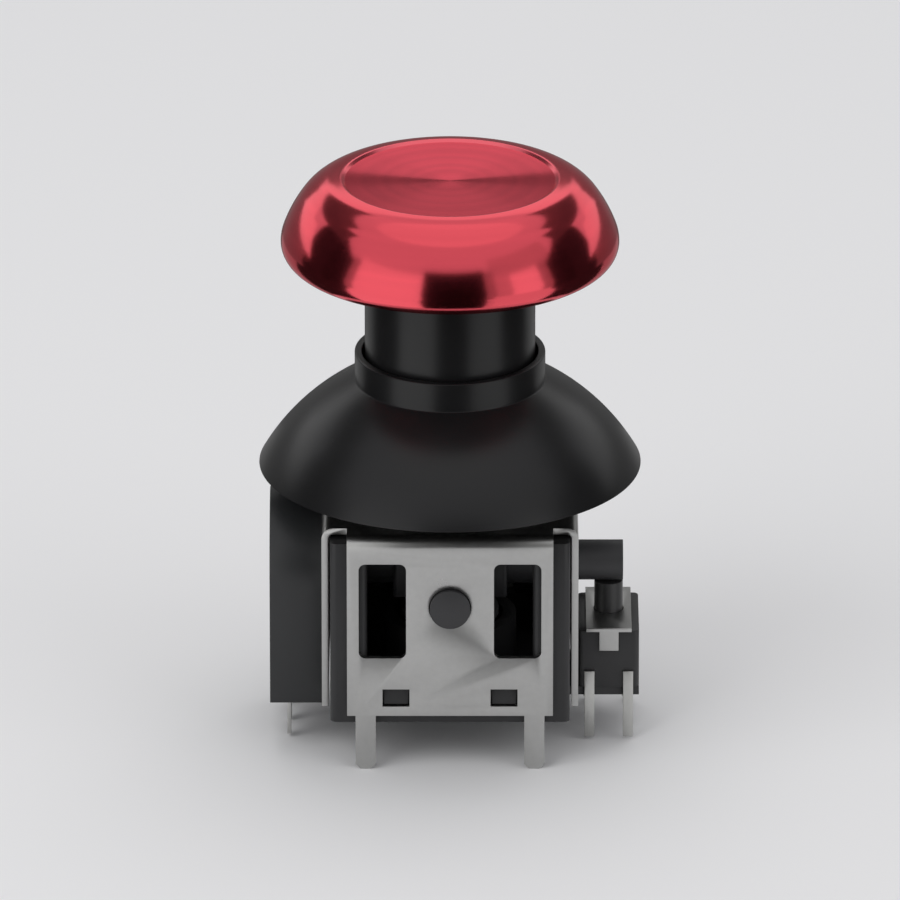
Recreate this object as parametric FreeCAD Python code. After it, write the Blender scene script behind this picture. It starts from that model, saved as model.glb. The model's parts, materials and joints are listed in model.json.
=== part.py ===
# Analog stick of a game controller: a domed metal thumb cap on a slotted stem, plugged into a
# ball-shaped base that rides on the lever of a two-axis joystick module with a push switch.
# Millimetres. +Z is up, and the origin lies under the stick on the face that seats on the
# circuit board. The side potentiometer stands at -X, the rear one at +Y, the switch at +X.

import FreeCAD, Part

import math
import os

Vec = FreeCAD.Vector
ORIGIN = Vec(0, 0, 0)
X_AXIS = Vec(1, 0, 0)
Y_AXIS = Vec(0, 1, 0)
Z_AXIS = Vec(0, 0, 1)
FULL_TURN = 360.0
QUARTER_TURN = 90.0
ALIGNED = math.cos(math.radians(2.5))

# Motion
PIVOT_Z = 7.5
PRESS = 0.4

# Clearances
RUN_GAP = 0.05
SWING_GAP = 0.25
PLUG_GAP = 0.15
TOUCH_GAP = 0.05
ASSEMBLY_GAP = 0.1

# Thumb cap
CAP_RADIUS = 10.0
CAP_HEIGHT = 5.05
CAP_EDGE_WIDTH = 3.55
CAP_WIDEST_DEPTH = 3.95
CAP_CROWN_SLOPE = 5.0
CAP_SIDE_SLOPE = 62.0
CAP_CROWN_ROUND = 3.0
CAP_SHOULDER_ROUND = 1.3
CAP_RIM_ROUND = 1.2
CAP_RIM_WIDTH = 0.6
CAP_ROOF = 2.0
CAP_SKIRT_WALL = 1.4
FACE_DEPTH = 0.14
LIP_WIDTH = 0.25
HUB_WALL = 1.2
HUB_RECESS = 0.35

# Slotted stem sleeve
SLEEVE_RADIUS = 5.05
SLEEVE_WALL = 0.55
SLEEVE_WEB = 1.8
NECK_LENGTH = 5.85
PLUG_DEPTH = 4.2
SPIGOT_STEP = 0.45
SPIGOT_HEIGHT = 2.0
SLOT_COUNT = 6
SLOT_WIDTH = 1.9
SLOT_DEPTH = 2.0
SLOT_ROUND = 0.25
TOOTH_ROUND = 0.45
FRONT_SLOT_ANGLE = -90.0

# Magnets
MAGNET_WALL = 0.9
MAGNET_HEIGHT = 1.5
MAGNET_CHAMFER = 0.15

# Ball-shaped base
BALL_RADIUS = 13.0
BALL_WALL = 1.0
BALL_RIM_HEIGHT = 6.3
COLLAR_WALL = 0.45
COLLAR_STAND = 1.75
COLLAR_ROUND = 0.12
GROOVE_FLOOR = 0.7
BOSS_WALL = 0.7
BOSS_CHAMFER = 0.6
POST_FOOT_RADIUS = 3.2
POST_FOOT_DROP = 1.0

# Lever
NECK_RADIUS = 1.5
SHAFT_RADIUS = 2.0
SHAFT_FLAT = 3.0
SHAFT_START = 5.6
SHAFT_TOP = 12.3
SHAFT_TAPER = 0.5
LEVER_FOOT_DROP = 2.6
LEVER_FOOT_RADIUS = 1.25
TRUNNION_RADIUS = 0.9

# Bar rocker, which the lever swings in
BAR_HALF_LENGTH = 3.4
BAR_HALF_WIDTH = 2.5
BAR_HALF_HEIGHT = 1.4
BAR_CHEEK = 0.6
BAR_END_WALL = 0.9
BAR_ROD_RADIUS = 1.4
BAR_ROUND = 0.3

# Arch rocker, which the lever sweeps along
ARCH_INNER = 4.2
ARCH_BAND = 1.0
ARCH_RAIL = 0.75
ARCH_FOOT_DROP = 1.5
ARCH_SLOT_HALF = 3.5
ARCH_BLOCK_HALF = 1.7

# Journals and the tongues that turn the potentiometers
JOURNAL_RADIUS = 1.2
JOURNAL_STAND = 0.3
TONGUE_THICKNESS = 1.0
TONGUE_HEIGHT = 2.0
TONGUE_REACH = 1.0
TONGUE_GAP = 0.2

# Folded metal shield
SHIELD_HALF = 7.6
SHEET = 0.4
SHIELD_ABOVE_PIVOT = 4.5
SHIELD_BOTTOM = 0.6
SHIELD_OPENING = 5.5
FOLD_ROUND = 0.7
CORNER_NOTCH = 1.5
WINDOW_INNER = 2.6
WINDOW_POST = 0.7
WINDOW_ROUND = 0.4
WINDOW_BELOW_PIVOT = 3.2
WINDOW_ABOVE_PIVOT = 2.8
LEG_OFFSET = 5.0
LEG_WIDTH = 1.2
LEG_LENGTH = 2.8
LEG_TAPER = 0.3

# Lower housing
FLOOR = 0.9
WELL_WALL = 0.8
WELL_BELOW_PIVOT = 3.3
PILLAR_SIZE = 2.2
PILLAR_ROUND = 0.4
PILLAR_HEADROOM = 0.2
EDGE_WALL = 0.8
EDGE_HEIGHT = 2.7
SNAP_OFFSET = 3.2
SNAP_WIDTH = 1.4
SNAP_HEIGHT = 0.9
SNAP_STAND = 0.3
SNAP_Z = 1.3
PEG_OFFSET = 5.0
PEG_RADIUS = 0.6
PEG_LENGTH = 1.3
PEG_CHAMFER = 0.15
SHELF = 0.5

# Return spring and its cup
CUP_RADIUS = 2.9
CUP_PLATE = 0.5
CUP_BOSS_RADIUS = 1.8
CUP_BOSS_HEIGHT = 0.8
FOOT_GAP = 0.3
SPRING_WIRE = 0.4
SPRING_MEAN_RADIUS = 2.35
SPRING_TURNS = 5

# Potentiometers
POT_ROOM = 0.6
POT_DEPTH = 3.1
POT_WALL = 0.6
POT_BACK = 0.5
POT_BOTTOM = 0.1
POT_PIN_RADIUS = 0.7
POT_PEG_RADIUS = 0.27
POT_PEG_Z = 3.0
BOARD_THICKNESS = 0.5
ROTOR_RADIUS = 3.2
ROTOR_START = 0.3
ROTOR_THICKNESS = 1.4
ROTOR_WEB = 0.15
WIPER_SHEET = 0.12
WIPER_RING = 1.7
WIPER_ARM_WIDTH = 0.7
WIPER_INSET = 0.3
WIPER_DIMPLE_RADIUS = 0.3
PIN_PITCH = 2.5
PIN_WIDTH = 0.6
PIN_SHEET = 0.25
PIN_LENGTH = 2.6
PIN_LAP = 1.3

# Push switch
SWITCH_SIZE_X = 3.6
SWITCH_SIZE_Y = 6.0
SWITCH_HEIGHT = 3.9
SWITCH_WALL = 0.45
SWITCH_FLOOR = 1.1
SWITCH_ROUND = 0.3
SWITCH_COVER = 0.25
COVER_EAR = 1.2
PLUNGER_RADIUS = 0.85
PLUNGER_FLANGE = 1.15
PLUNGER_FLANGE_HEIGHT = 0.6
PLUNGER_NIB_RADIUS = 0.4
SNAP_DOME_RADIUS = 1.25
SNAP_DOME_RISE = 0.6
SNAP_DOME_SHEET = 0.12
SWITCH_PIN_OFFSET = 1.15
SWITCH_PIN_SHEET = 0.2

# Heights and radii that follow from the sizes above
COLLAR_BORE = SLEEVE_RADIUS + PLUG_GAP
COLLAR_RADIUS = COLLAR_BORE + COLLAR_WALL
COLLAR_TOP_Z = PIVOT_Z + math.sqrt(BALL_RADIUS**2 - COLLAR_RADIUS**2) + COLLAR_STAND
CAP_RIM_Z = COLLAR_TOP_Z + NECK_LENGTH
CAP_TOP_Z = CAP_RIM_Z + CAP_HEIGHT
SLEEVE_BOTTOM_Z = COLLAR_TOP_Z - PLUG_DEPTH
LIP_RADIUS = CAP_RADIUS - CAP_EDGE_WIDTH
FACE_RADIUS = LIP_RADIUS - LIP_WIDTH
SHOULDER_Z = CAP_RIM_Z + HUB_RECESS
SPIGOT_RADIUS = SLEEVE_RADIUS - SPIGOT_STEP
GROOVE_Z = SLEEVE_BOTTOM_Z - ASSEMBLY_GAP
POST_RADIUS = SLEEVE_RADIUS - SLEEVE_WALL - PLUG_GAP
MAGNET_RADIUS = POST_RADIUS - MAGNET_WALL
BOSS_RADIUS = COLLAR_BORE + BOSS_WALL
BOSS_BOTTOM_Z = GROOVE_Z - GROOVE_FLOOR
POST_BOTTOM_Z = BOSS_BOTTOM_Z - POST_FOOT_DROP
HEAD_MAGNET_TOP_Z = SHOULDER_Z + SPIGOT_HEIGHT - SLEEVE_WEB
HEAD_MAGNET_Z = HEAD_MAGNET_TOP_Z - MAGNET_HEIGHT
POST_TOP_Z = HEAD_MAGNET_Z - ASSEMBLY_GAP
SHAFT_TOP_Z = PIVOT_Z + SHAFT_TOP
LEVER_FOOT_Z = PIVOT_Z - LEVER_FOOT_DROP
CUP_TOP_Z = LEVER_FOOT_Z - FOOT_GAP
CUP_SEAT_Z = CUP_TOP_Z - CUP_PLATE
SHIELD_INNER = SHIELD_HALF - SHEET
SHIELD_TOP_Z = PIVOT_Z + SHIELD_ABOVE_PIVOT
SHIELD_ROOF_Z = SHIELD_TOP_Z - SHEET
HOUSING_HALF = SHIELD_INNER - ASSEMBLY_GAP
ARCH_OUTER = ARCH_INNER + ARCH_BAND
ARCH_SLOT_WIDTH = 2 * (NECK_RADIUS + SWING_GAP)
ARCH_HALF_WIDTH = ARCH_SLOT_WIDTH / 2 + ARCH_RAIL
ROCKER_END = SHIELD_INNER - ASSEMBLY_GAP
POT_HALF_WIDTH = ROTOR_RADIUS + POT_ROOM + POT_WALL
WIPER_REACH = ROTOR_RADIUS - WIPER_INSET
SWITCH_X = SHIELD_HALF + TOUCH_GAP + SWITCH_SIZE_X / 2
SWITCH_TOP_Z = SHELF + SWITCH_HEIGHT
PLUNGER_TOP_Z = PIVOT_Z - JOURNAL_RADIUS - TOUCH_GAP
SNAP_DOME_Z = SHELF + SWITCH_FLOOR


class Outline:
    """A closed half section of radii and heights, which is turned about the Z axis."""

    def __init__(self, radius, height):
        self.first = Vec(radius, 0, height)
        self.last = self.first
        self.edges = []

    def line(self, radius, height):
        end = Vec(radius, 0, height)
        self.edges.append(Part.LineSegment(self.last, end).toShape())
        self.last = end
        return self

    def arc(self, centre_radius, centre_height, radius, height):
        """Adds the shorter arc about a centre, from the last point to the one given."""
        centre = Vec(centre_radius, 0, centre_height)
        end = Vec(radius, 0, height)
        bisector = (self.last - centre) + (end - centre)
        middle = centre + bisector.normalize() * (end - centre).Length
        self.edges.append(Part.Arc(self.last, middle, end).toShape())
        self.last = end
        return self

    def bend(self, corner_radius, corner_height, radius, height, rounding):
        """Adds a rounded corner that turns from the last point towards the one given."""
        corner = Vec(corner_radius, 0, corner_height)
        back = (self.last - corner).normalize()
        onward = (Vec(radius, 0, height) - corner).normalize()
        half = back.getAngle(onward) / 2
        start = corner + back * (rounding / math.tan(half))
        end = corner + onward * (rounding / math.tan(half))
        centre = corner + (back + onward).normalize() * (rounding / math.sin(half))
        self.line(start.x, start.z)
        return self.arc(centre.x, centre.z, end.x, end.z)

    def turned(self):
        self.line(self.first.x, self.first.z)
        face = Part.Face(Part.Wire(self.edges))
        return face.revolve(ORIGIN, Z_AXIS, FULL_TURN)


def block(low, high):
    """A box between two corners."""
    size = Vec(*high) - Vec(*low)
    return Part.makeBox(size.x, size.y, size.z, Vec(*low))


def edges_along(shape, axis):
    """The straight edges of a shape that run along an axis."""
    found = []
    for edge in shape.Edges:
        if not isinstance(edge.Curve, Part.Line):
            continue
        if abs(edge.tangentAt(edge.FirstParameter).dot(axis)) > ALIGNED:
            found.append(edge)
    return found


def rounded_block(low, high, axis, radius):
    """A box whose four edges along one axis are rounded."""
    box = block(low, high)
    return box.makeFillet(radius, edges_along(box, axis))


def rod(radius, start, end):
    """A round rod between two points."""
    path = Vec(*end) - Vec(*start)
    return Part.makeCylinder(radius, path.Length, Vec(*start), path)


def turn(shape, degrees):
    """A copy of a shape turned about the Z axis."""
    copy = shape.copy()
    copy.rotate(ORIGIN, Z_AXIS, degrees)
    return copy


def joined(shapes):
    """One solid fused from several, with no seams left between them."""
    first, rest = shapes[0], shapes[1:]
    return first.fuse(rest).removeSplitter()


def ball_height(radius, distance):
    """Height of a sphere about the pivot, at a distance from the stick's axis."""
    return PIVOT_Z + math.sqrt(radius**2 - distance**2)


def cap_crown(side_z):
    """Where the cap's crown and its steep side would meet if they weren't rounded."""
    crown, side = (math.tan(math.radians(a)) for a in (CAP_CROWN_SLOPE, CAP_SIDE_SLOPE))
    width = (CAP_EDGE_WIDTH * side - (CAP_TOP_Z - side_z)) / (side - crown)
    return LIP_RADIUS + width, CAP_TOP_Z - width * crown


def thumb_cap():
    """Turned cap: a sunken face inside a fine lip, a domed edge and a hollow back."""
    half_bend = math.radians(QUARTER_TURN - CAP_SIDE_SLOPE) / 2
    widest_z = CAP_TOP_Z - CAP_WIDEST_DEPTH
    side_z = widest_z + CAP_SHOULDER_ROUND * math.tan(half_bend)
    crown_r, crown_z = cap_crown(side_z)
    rim_drop = widest_z - CAP_RIM_Z
    rim_r = CAP_RADIUS - CAP_RIM_ROUND + math.sqrt(CAP_RIM_ROUND**2 - rim_drop**2)
    hollow_r = CAP_RADIUS - CAP_SKIRT_WALL
    hollow_z = CAP_TOP_Z - CAP_ROOF
    hub_r = SLEEVE_RADIUS + HUB_WALL
    section = Outline(0, CAP_TOP_Z - FACE_DEPTH)
    section.line(FACE_RADIUS, CAP_TOP_Z - FACE_DEPTH)
    section.line(LIP_RADIUS, CAP_TOP_Z)
    section.bend(crown_r, crown_z, CAP_RADIUS, side_z, CAP_CROWN_ROUND)
    section.bend(CAP_RADIUS, side_z, CAP_RADIUS, CAP_RIM_Z, CAP_SHOULDER_ROUND)
    section.arc(CAP_RADIUS - CAP_RIM_ROUND, widest_z, rim_r, CAP_RIM_Z)
    section.line(rim_r - CAP_RIM_WIDTH, CAP_RIM_Z)
    section.line(hollow_r, CAP_RIM_Z + HUB_RECESS)
    section.line(hollow_r, hollow_z - HUB_RECESS)
    section.line(hollow_r - HUB_RECESS, hollow_z)
    section.line(hub_r, hollow_z)
    section.line(hub_r, SHOULDER_Z)
    section.line(SPIGOT_RADIUS, SHOULDER_Z)
    section.line(SPIGOT_RADIUS, SHOULDER_Z + SPIGOT_HEIGHT)
    section.line(0, SHOULDER_Z + SPIGOT_HEIGHT)
    return section.turned()


def stem_slots(width, bottom_z, depth, inner_radius, outer_radius, round_radius):
    """Radial bars spaced round the stem, as wide and deep as its slots."""
    bar = block(
        (inner_radius, -width / 2, bottom_z),
        (outer_radius, width / 2, bottom_z + depth),
    )
    if round_radius:
        top = [e for e in edges_along(bar, X_AXIS) if e.Vertexes[0].Z > bottom_z]
        bar = bar.makeFillet(round_radius, top)
    step = FULL_TURN / SLOT_COUNT
    return [turn(bar, FRONT_SLOT_ANGLE + n * step) for n in range(SLOT_COUNT)]


def stem_sleeve():
    """Thin tube under the cap, with a web for its magnet and slots in its open end."""
    bore_r = SLEEVE_RADIUS - SLEEVE_WALL
    tube = Outline(0, SHOULDER_Z + SPIGOT_HEIGHT)
    tube.line(SPIGOT_RADIUS, SHOULDER_Z + SPIGOT_HEIGHT)
    tube.line(SPIGOT_RADIUS, SHOULDER_Z)
    tube.line(SLEEVE_RADIUS, SHOULDER_Z)
    tube.line(SLEEVE_RADIUS, SLEEVE_BOTTOM_Z)
    tube.line(bore_r, SLEEVE_BOTTOM_Z)
    tube.line(bore_r, HEAD_MAGNET_Z)
    tube.line(MAGNET_RADIUS + RUN_GAP, HEAD_MAGNET_Z)
    tube.line(MAGNET_RADIUS + RUN_GAP, HEAD_MAGNET_TOP_Z)
    tube.line(0, HEAD_MAGNET_TOP_Z)
    slots = stem_slots(
        SLOT_WIDTH,
        SLEEVE_BOTTOM_Z - ASSEMBLY_GAP,
        SLOT_DEPTH + ASSEMBLY_GAP,
        bore_r - PLUG_GAP,
        SLEEVE_RADIUS + PLUG_GAP,
        SLOT_ROUND,
    )
    sleeve = tube.turned().cut(slots)
    corners = []
    for edge in sleeve.Edges:
        ends = [vertex.Z for vertex in edge.Vertexes]
        straight = isinstance(edge.Curve, Part.Line)
        if straight and max(ends) < SLEEVE_BOTTOM_Z + ASSEMBLY_GAP:
            corners.append(edge)
    return sleeve.makeFillet(TOOTH_ROUND, corners)


def magnet(bottom_z):
    """Nickel-plated disc magnet with chamfered edges."""
    disc = Part.makeCylinder(MAGNET_RADIUS, MAGNET_HEIGHT, Vec(0, 0, bottom_z))
    rims = [edge for edge in disc.Edges if isinstance(edge.Curve, Part.Circle)]
    return disc.makeChamfer(MAGNET_CHAMFER, rims)


def lever_shaft(radius, flat_to_flat, bottom_z, top_z):
    """The shaft's two-flatted section, for the lever and for the hole that it fills."""
    shaft = rod(radius, (0, 0, bottom_z), (0, 0, top_z))
    half = flat_to_flat / 2
    return shaft.common(block((-radius, -half, bottom_z), (radius, half, top_z)))


def ball_base():
    """Ball cap with a collar and keyed groove for the sleeve, and a post for the lever."""
    inner = BALL_RADIUS - BALL_WALL
    rim_z = PIVOT_Z + BALL_RIM_HEIGHT
    outer_rim = math.sqrt(BALL_RADIUS**2 - BALL_RIM_HEIGHT**2)
    inner_rim = math.sqrt(inner**2 - BALL_RIM_HEIGHT**2)
    section = Outline(0, POST_TOP_Z)
    section.line(POST_RADIUS, POST_TOP_Z)
    section.line(POST_RADIUS, GROOVE_Z)
    section.line(COLLAR_BORE, GROOVE_Z)
    section.line(COLLAR_BORE, COLLAR_TOP_Z - COLLAR_ROUND)
    section.line(COLLAR_BORE + COLLAR_ROUND, COLLAR_TOP_Z)
    section.line(COLLAR_RADIUS - COLLAR_ROUND, COLLAR_TOP_Z)
    section.line(COLLAR_RADIUS, COLLAR_TOP_Z - COLLAR_ROUND)
    section.line(COLLAR_RADIUS, ball_height(BALL_RADIUS, COLLAR_RADIUS))
    section.arc(0, PIVOT_Z, outer_rim, rim_z)
    section.line(inner_rim, rim_z)
    section.arc(0, PIVOT_Z, BOSS_RADIUS, ball_height(inner, BOSS_RADIUS))
    section.line(BOSS_RADIUS, BOSS_BOTTOM_Z + BOSS_CHAMFER)
    section.line(BOSS_RADIUS - BOSS_CHAMFER, BOSS_BOTTOM_Z)
    section.line(POST_FOOT_RADIUS, BOSS_BOTTOM_Z)
    section.line(POST_FOOT_RADIUS, POST_BOTTOM_Z)
    section.line(0, POST_BOTTOM_Z)
    body = section.turned()
    keys = stem_slots(
        SLOT_WIDTH - 2 * ASSEMBLY_GAP,
        GROOVE_Z,
        SLOT_DEPTH - ASSEMBLY_GAP,
        POST_RADIUS - PLUG_GAP,
        COLLAR_BORE + PLUG_GAP,
        0,
    )
    pocket = Part.makeCylinder(
        MAGNET_RADIUS + RUN_GAP, MAGNET_HEIGHT, Vec(0, 0, POST_TOP_Z - MAGNET_HEIGHT)
    )
    socket = lever_shaft(
        SHAFT_RADIUS + RUN_GAP,
        SHAFT_FLAT + 2 * RUN_GAP,
        POST_BOTTOM_Z,
        SHAFT_TOP_Z + ASSEMBLY_GAP,
    )
    return joined([body] + keys).cut([pocket, socket])


def lever():
    """Moulded lever: a foot, trunnions at the pivot, a round neck and a flatted shaft."""
    shaft_z = PIVOT_Z + SHAFT_START
    full_z = shaft_z + (SHAFT_RADIUS - NECK_RADIUS)
    taper_z = LEVER_FOOT_Z + (NECK_RADIUS - LEVER_FOOT_RADIUS) * 2
    stem = Outline(0, LEVER_FOOT_Z)
    stem.line(LEVER_FOOT_RADIUS, LEVER_FOOT_Z)
    stem.line(NECK_RADIUS, taper_z)
    stem.line(NECK_RADIUS, shaft_z)
    stem.line(SHAFT_RADIUS, full_z)
    stem.line(SHAFT_RADIUS, SHAFT_TOP_Z - SHAFT_TAPER)
    stem.line(SHAFT_RADIUS - SHAFT_TAPER, SHAFT_TOP_Z)
    stem.line(0, SHAFT_TOP_Z)
    flats = block(
        (-SHAFT_RADIUS, -SHAFT_FLAT / 2, LEVER_FOOT_Z),
        (SHAFT_RADIUS, SHAFT_FLAT / 2, SHAFT_TOP_Z),
    )
    cheek = BAR_HALF_WIDTH - BAR_CHEEK - ASSEMBLY_GAP
    barrel = rod(NECK_RADIUS, (0, -cheek, PIVOT_Z), (0, cheek, PIVOT_Z))
    trunnions = rod(
        TRUNNION_RADIUS, (0, -BAR_HALF_WIDTH, PIVOT_Z), (0, BAR_HALF_WIDTH, PIVOT_Z)
    )
    return joined([stem.turned().common(flats), barrel, trunnions])


def tongue(start):
    """The key at the end of a rocker pointing along +X, which turns a potentiometer."""
    return block(
        (start, -TONGUE_THICKNESS / 2, PIVOT_Z - TONGUE_HEIGHT / 2),
        (SHIELD_HALF + TONGUE_REACH, TONGUE_THICKNESS / 2, PIVOT_Z + TONGUE_HEIGHT / 2),
    )


def bar_rocker():
    """Lower rocker: a windowed block for the lever, with a rod and a journal each way."""
    frame = rounded_block(
        (-BAR_HALF_LENGTH, -BAR_HALF_WIDTH, PIVOT_Z - BAR_HALF_HEIGHT),
        (BAR_HALF_LENGTH, BAR_HALF_WIDTH, PIVOT_Z + BAR_HALF_HEIGHT),
        Z_AXIS,
        BAR_ROUND,
    )
    window_x = BAR_HALF_LENGTH - BAR_END_WALL
    window_y = BAR_HALF_WIDTH - BAR_CHEEK
    window = block(
        (-window_x, -window_y, PIVOT_Z - BAR_HALF_HEIGHT),
        (window_x, window_y, PIVOT_Z + BAR_HALF_HEIGHT),
    )
    holes = rod(
        TRUNNION_RADIUS + RUN_GAP,
        (0, -BAR_HALF_WIDTH, PIVOT_Z),
        (0, BAR_HALF_WIDTH, PIVOT_Z),
    )
    switch_end = SWITCH_X + PLUNGER_RADIUS
    thick_rod = rod(BAR_ROD_RADIUS, (-ROCKER_END, 0, PIVOT_Z), (ROCKER_END, 0, PIVOT_Z))
    journals = rod(JOURNAL_RADIUS, (-SHIELD_HALF, 0, PIVOT_Z), (switch_end, 0, PIVOT_Z))
    key = turn(tongue(ROCKER_END), 2 * QUARTER_TURN)
    return joined([frame, thick_rod, journals, key]).cut([window, holes])


def arch_rocker():
    """Upper rocker: a slotted arch over the bar, on a journal at the front and the rear."""
    band = rod(ARCH_OUTER, (-ARCH_HALF_WIDTH, 0, PIVOT_Z), (ARCH_HALF_WIDTH, 0, PIVOT_Z))
    hollow = rod(ARCH_INNER, (-ARCH_HALF_WIDTH, 0, PIVOT_Z), (ARCH_HALF_WIDTH, 0, PIVOT_Z))
    kept = block(
        (-ARCH_HALF_WIDTH, -ARCH_OUTER, PIVOT_Z - ARCH_FOOT_DROP),
        (ARCH_HALF_WIDTH, ARCH_OUTER, PIVOT_Z + ARCH_OUTER),
    )
    slot = rounded_block(
        (-ARCH_SLOT_WIDTH / 2, -ARCH_SLOT_HALF, PIVOT_Z),
        (ARCH_SLOT_WIDTH / 2, ARCH_SLOT_HALF, PIVOT_Z + ARCH_OUTER),
        Z_AXIS,
        NECK_RADIUS / 2,
    )
    arch = band.cut(hollow).common(kept).cut(slot)
    pieces = [arch]
    for side in (-1, 1):
        pad = rounded_block(
            (ARCH_INNER + ARCH_BAND / 2, -ARCH_BLOCK_HALF, PIVOT_Z - ARCH_FOOT_DROP),
            (ROCKER_END, ARCH_BLOCK_HALF, PIVOT_Z + ARCH_FOOT_DROP),
            X_AXIS,
            BAR_ROUND,
        )
        pieces.append(turn(pad, side * QUARTER_TURN))
    front_end = -SHIELD_HALF - JOURNAL_STAND
    pieces.append(rod(JOURNAL_RADIUS, (0, front_end, PIVOT_Z), (0, -ROCKER_END, PIVOT_Z)))
    pieces.append(rod(JOURNAL_RADIUS, (0, ROCKER_END, PIVOT_Z), (0, SHIELD_HALF, PIVOT_Z)))
    pieces.append(turn(tongue(ROCKER_END), QUARTER_TURN))
    return joined(pieces)


def spring_cup():
    """Disc that the spring lifts against the lever's foot, with a boss inside the coil."""
    cup = Outline(0, CUP_TOP_Z)
    cup.line(CUP_RADIUS, CUP_TOP_Z)
    cup.line(CUP_RADIUS, CUP_SEAT_Z)
    cup.line(CUP_BOSS_RADIUS, CUP_SEAT_Z)
    cup.line(CUP_BOSS_RADIUS, CUP_SEAT_Z - CUP_BOSS_HEIGHT)
    cup.line(0, CUP_SEAT_Z - CUP_BOSS_HEIGHT)
    return cup.turned()


def return_spring():
    """Compression spring between the housing's floor and the cup."""
    bottom_z = FLOOR + SPRING_WIRE / 2
    height = CUP_SEAT_Z - TOUCH_GAP - SPRING_WIRE / 2 - bottom_z
    path = Part.makeHelix(height / SPRING_TURNS, height, SPRING_MEAN_RADIUS)
    path.translate(Vec(0, 0, bottom_z))
    section = Part.Circle(
        Vec(SPRING_MEAN_RADIUS, 0, bottom_z), Y_AXIS, SPRING_WIRE / 2
    )
    wire = Part.Wire([section.toShape()])
    return Part.Wire(path.Edges).makePipeShell([wire], True, True)


def lower_housing():
    """Moulded tray with the spring's well, four pillars, snaps, pegs and a switch shelf."""
    well_bore = CUP_RADIUS + SWING_GAP
    well_top = PIVOT_Z - WELL_BELOW_PIVOT
    tray_inner = HOUSING_HALF - EDGE_WALL
    tray = rounded_block(
        (-HOUSING_HALF, -HOUSING_HALF, 0),
        (HOUSING_HALF, HOUSING_HALF, EDGE_HEIGHT),
        Z_AXIS,
        PILLAR_ROUND,
    ).cut(block((-tray_inner, -tray_inner, FLOOR), (tray_inner, tray_inner, EDGE_HEIGHT)))
    shelf = block(
        (0, -(SWITCH_SIZE_Y / 2 - ASSEMBLY_GAP), 0),
        (SWITCH_X + SWITCH_SIZE_X / 2, SWITCH_SIZE_Y / 2 - ASSEMBLY_GAP, SHELF),
    )
    well = rod(well_bore + WELL_WALL, (0, 0, 0), (0, 0, well_top))
    pieces = [tray, shelf, well]
    pillar_top = SHIELD_ROOF_Z - PILLAR_HEADROOM
    pillar_inner = HOUSING_HALF - PILLAR_SIZE
    pillar = rounded_block(
        (pillar_inner, pillar_inner, 0),
        (HOUSING_HALF, HOUSING_HALF, pillar_top),
        Z_AXIS,
        PILLAR_ROUND,
    )
    pieces += [turn(pillar, n * QUARTER_TURN) for n in range(4)]
    for x in (-SNAP_OFFSET, SNAP_OFFSET):
        pieces.append(snap_wedge(x))
        pieces.append(turn(snap_wedge(x), 2 * QUARTER_TURN))
    body = joined(pieces)
    well_space = rod(well_bore, (0, 0, FLOOR), (0, 0, SHIELD_TOP_Z))
    pegs = []
    for x in (-PEG_OFFSET, PEG_OFFSET):
        peg = rod(PEG_RADIUS, (x, 0, -PEG_LENGTH), (x, 0, FLOOR))
        tip = [e for e in peg.Edges if e.BoundBox.ZMax < 0]
        pegs.append(peg.makeChamfer(PEG_CHAMFER, tip))
    return joined([body.cut(well_space)] + pegs)


def snap_wedge(x):
    """A wedge on the housing's rear wall that holds the shield down."""
    y = HOUSING_HALF
    profile = [
        Vec(x - SNAP_WIDTH / 2, y - SNAP_STAND, SNAP_Z),
        Vec(x - SNAP_WIDTH / 2, y, SNAP_Z),
        Vec(x - SNAP_WIDTH / 2, y + SNAP_STAND, SNAP_Z),
        Vec(x - SNAP_WIDTH / 2, y, SNAP_Z + SNAP_HEIGHT),
        Vec(x - SNAP_WIDTH / 2, y - SNAP_STAND, SNAP_Z + SNAP_HEIGHT),
    ]
    outline = Part.makePolygon(profile + profile[:1])
    return Part.Face(outline).extrude(Vec(SNAP_WIDTH, 0, 0))


def shield_windows():
    """Two openings beside the journal, for a wall that faces +X."""
    outer = SHIELD_HALF - CORNER_NOTCH - WINDOW_POST
    windows = []
    for low_y, high_y in ((-outer, -WINDOW_INNER), (WINDOW_INNER, outer)):
        windows.append(
            rounded_block(
                (SHIELD_INNER - SHEET, low_y, PIVOT_Z - WINDOW_BELOW_PIVOT),
                (SHIELD_HALF + SHEET, high_y, PIVOT_Z + WINDOW_ABOVE_PIVOT),
                X_AXIS,
                WINDOW_ROUND,
            )
        )
    return windows


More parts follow.
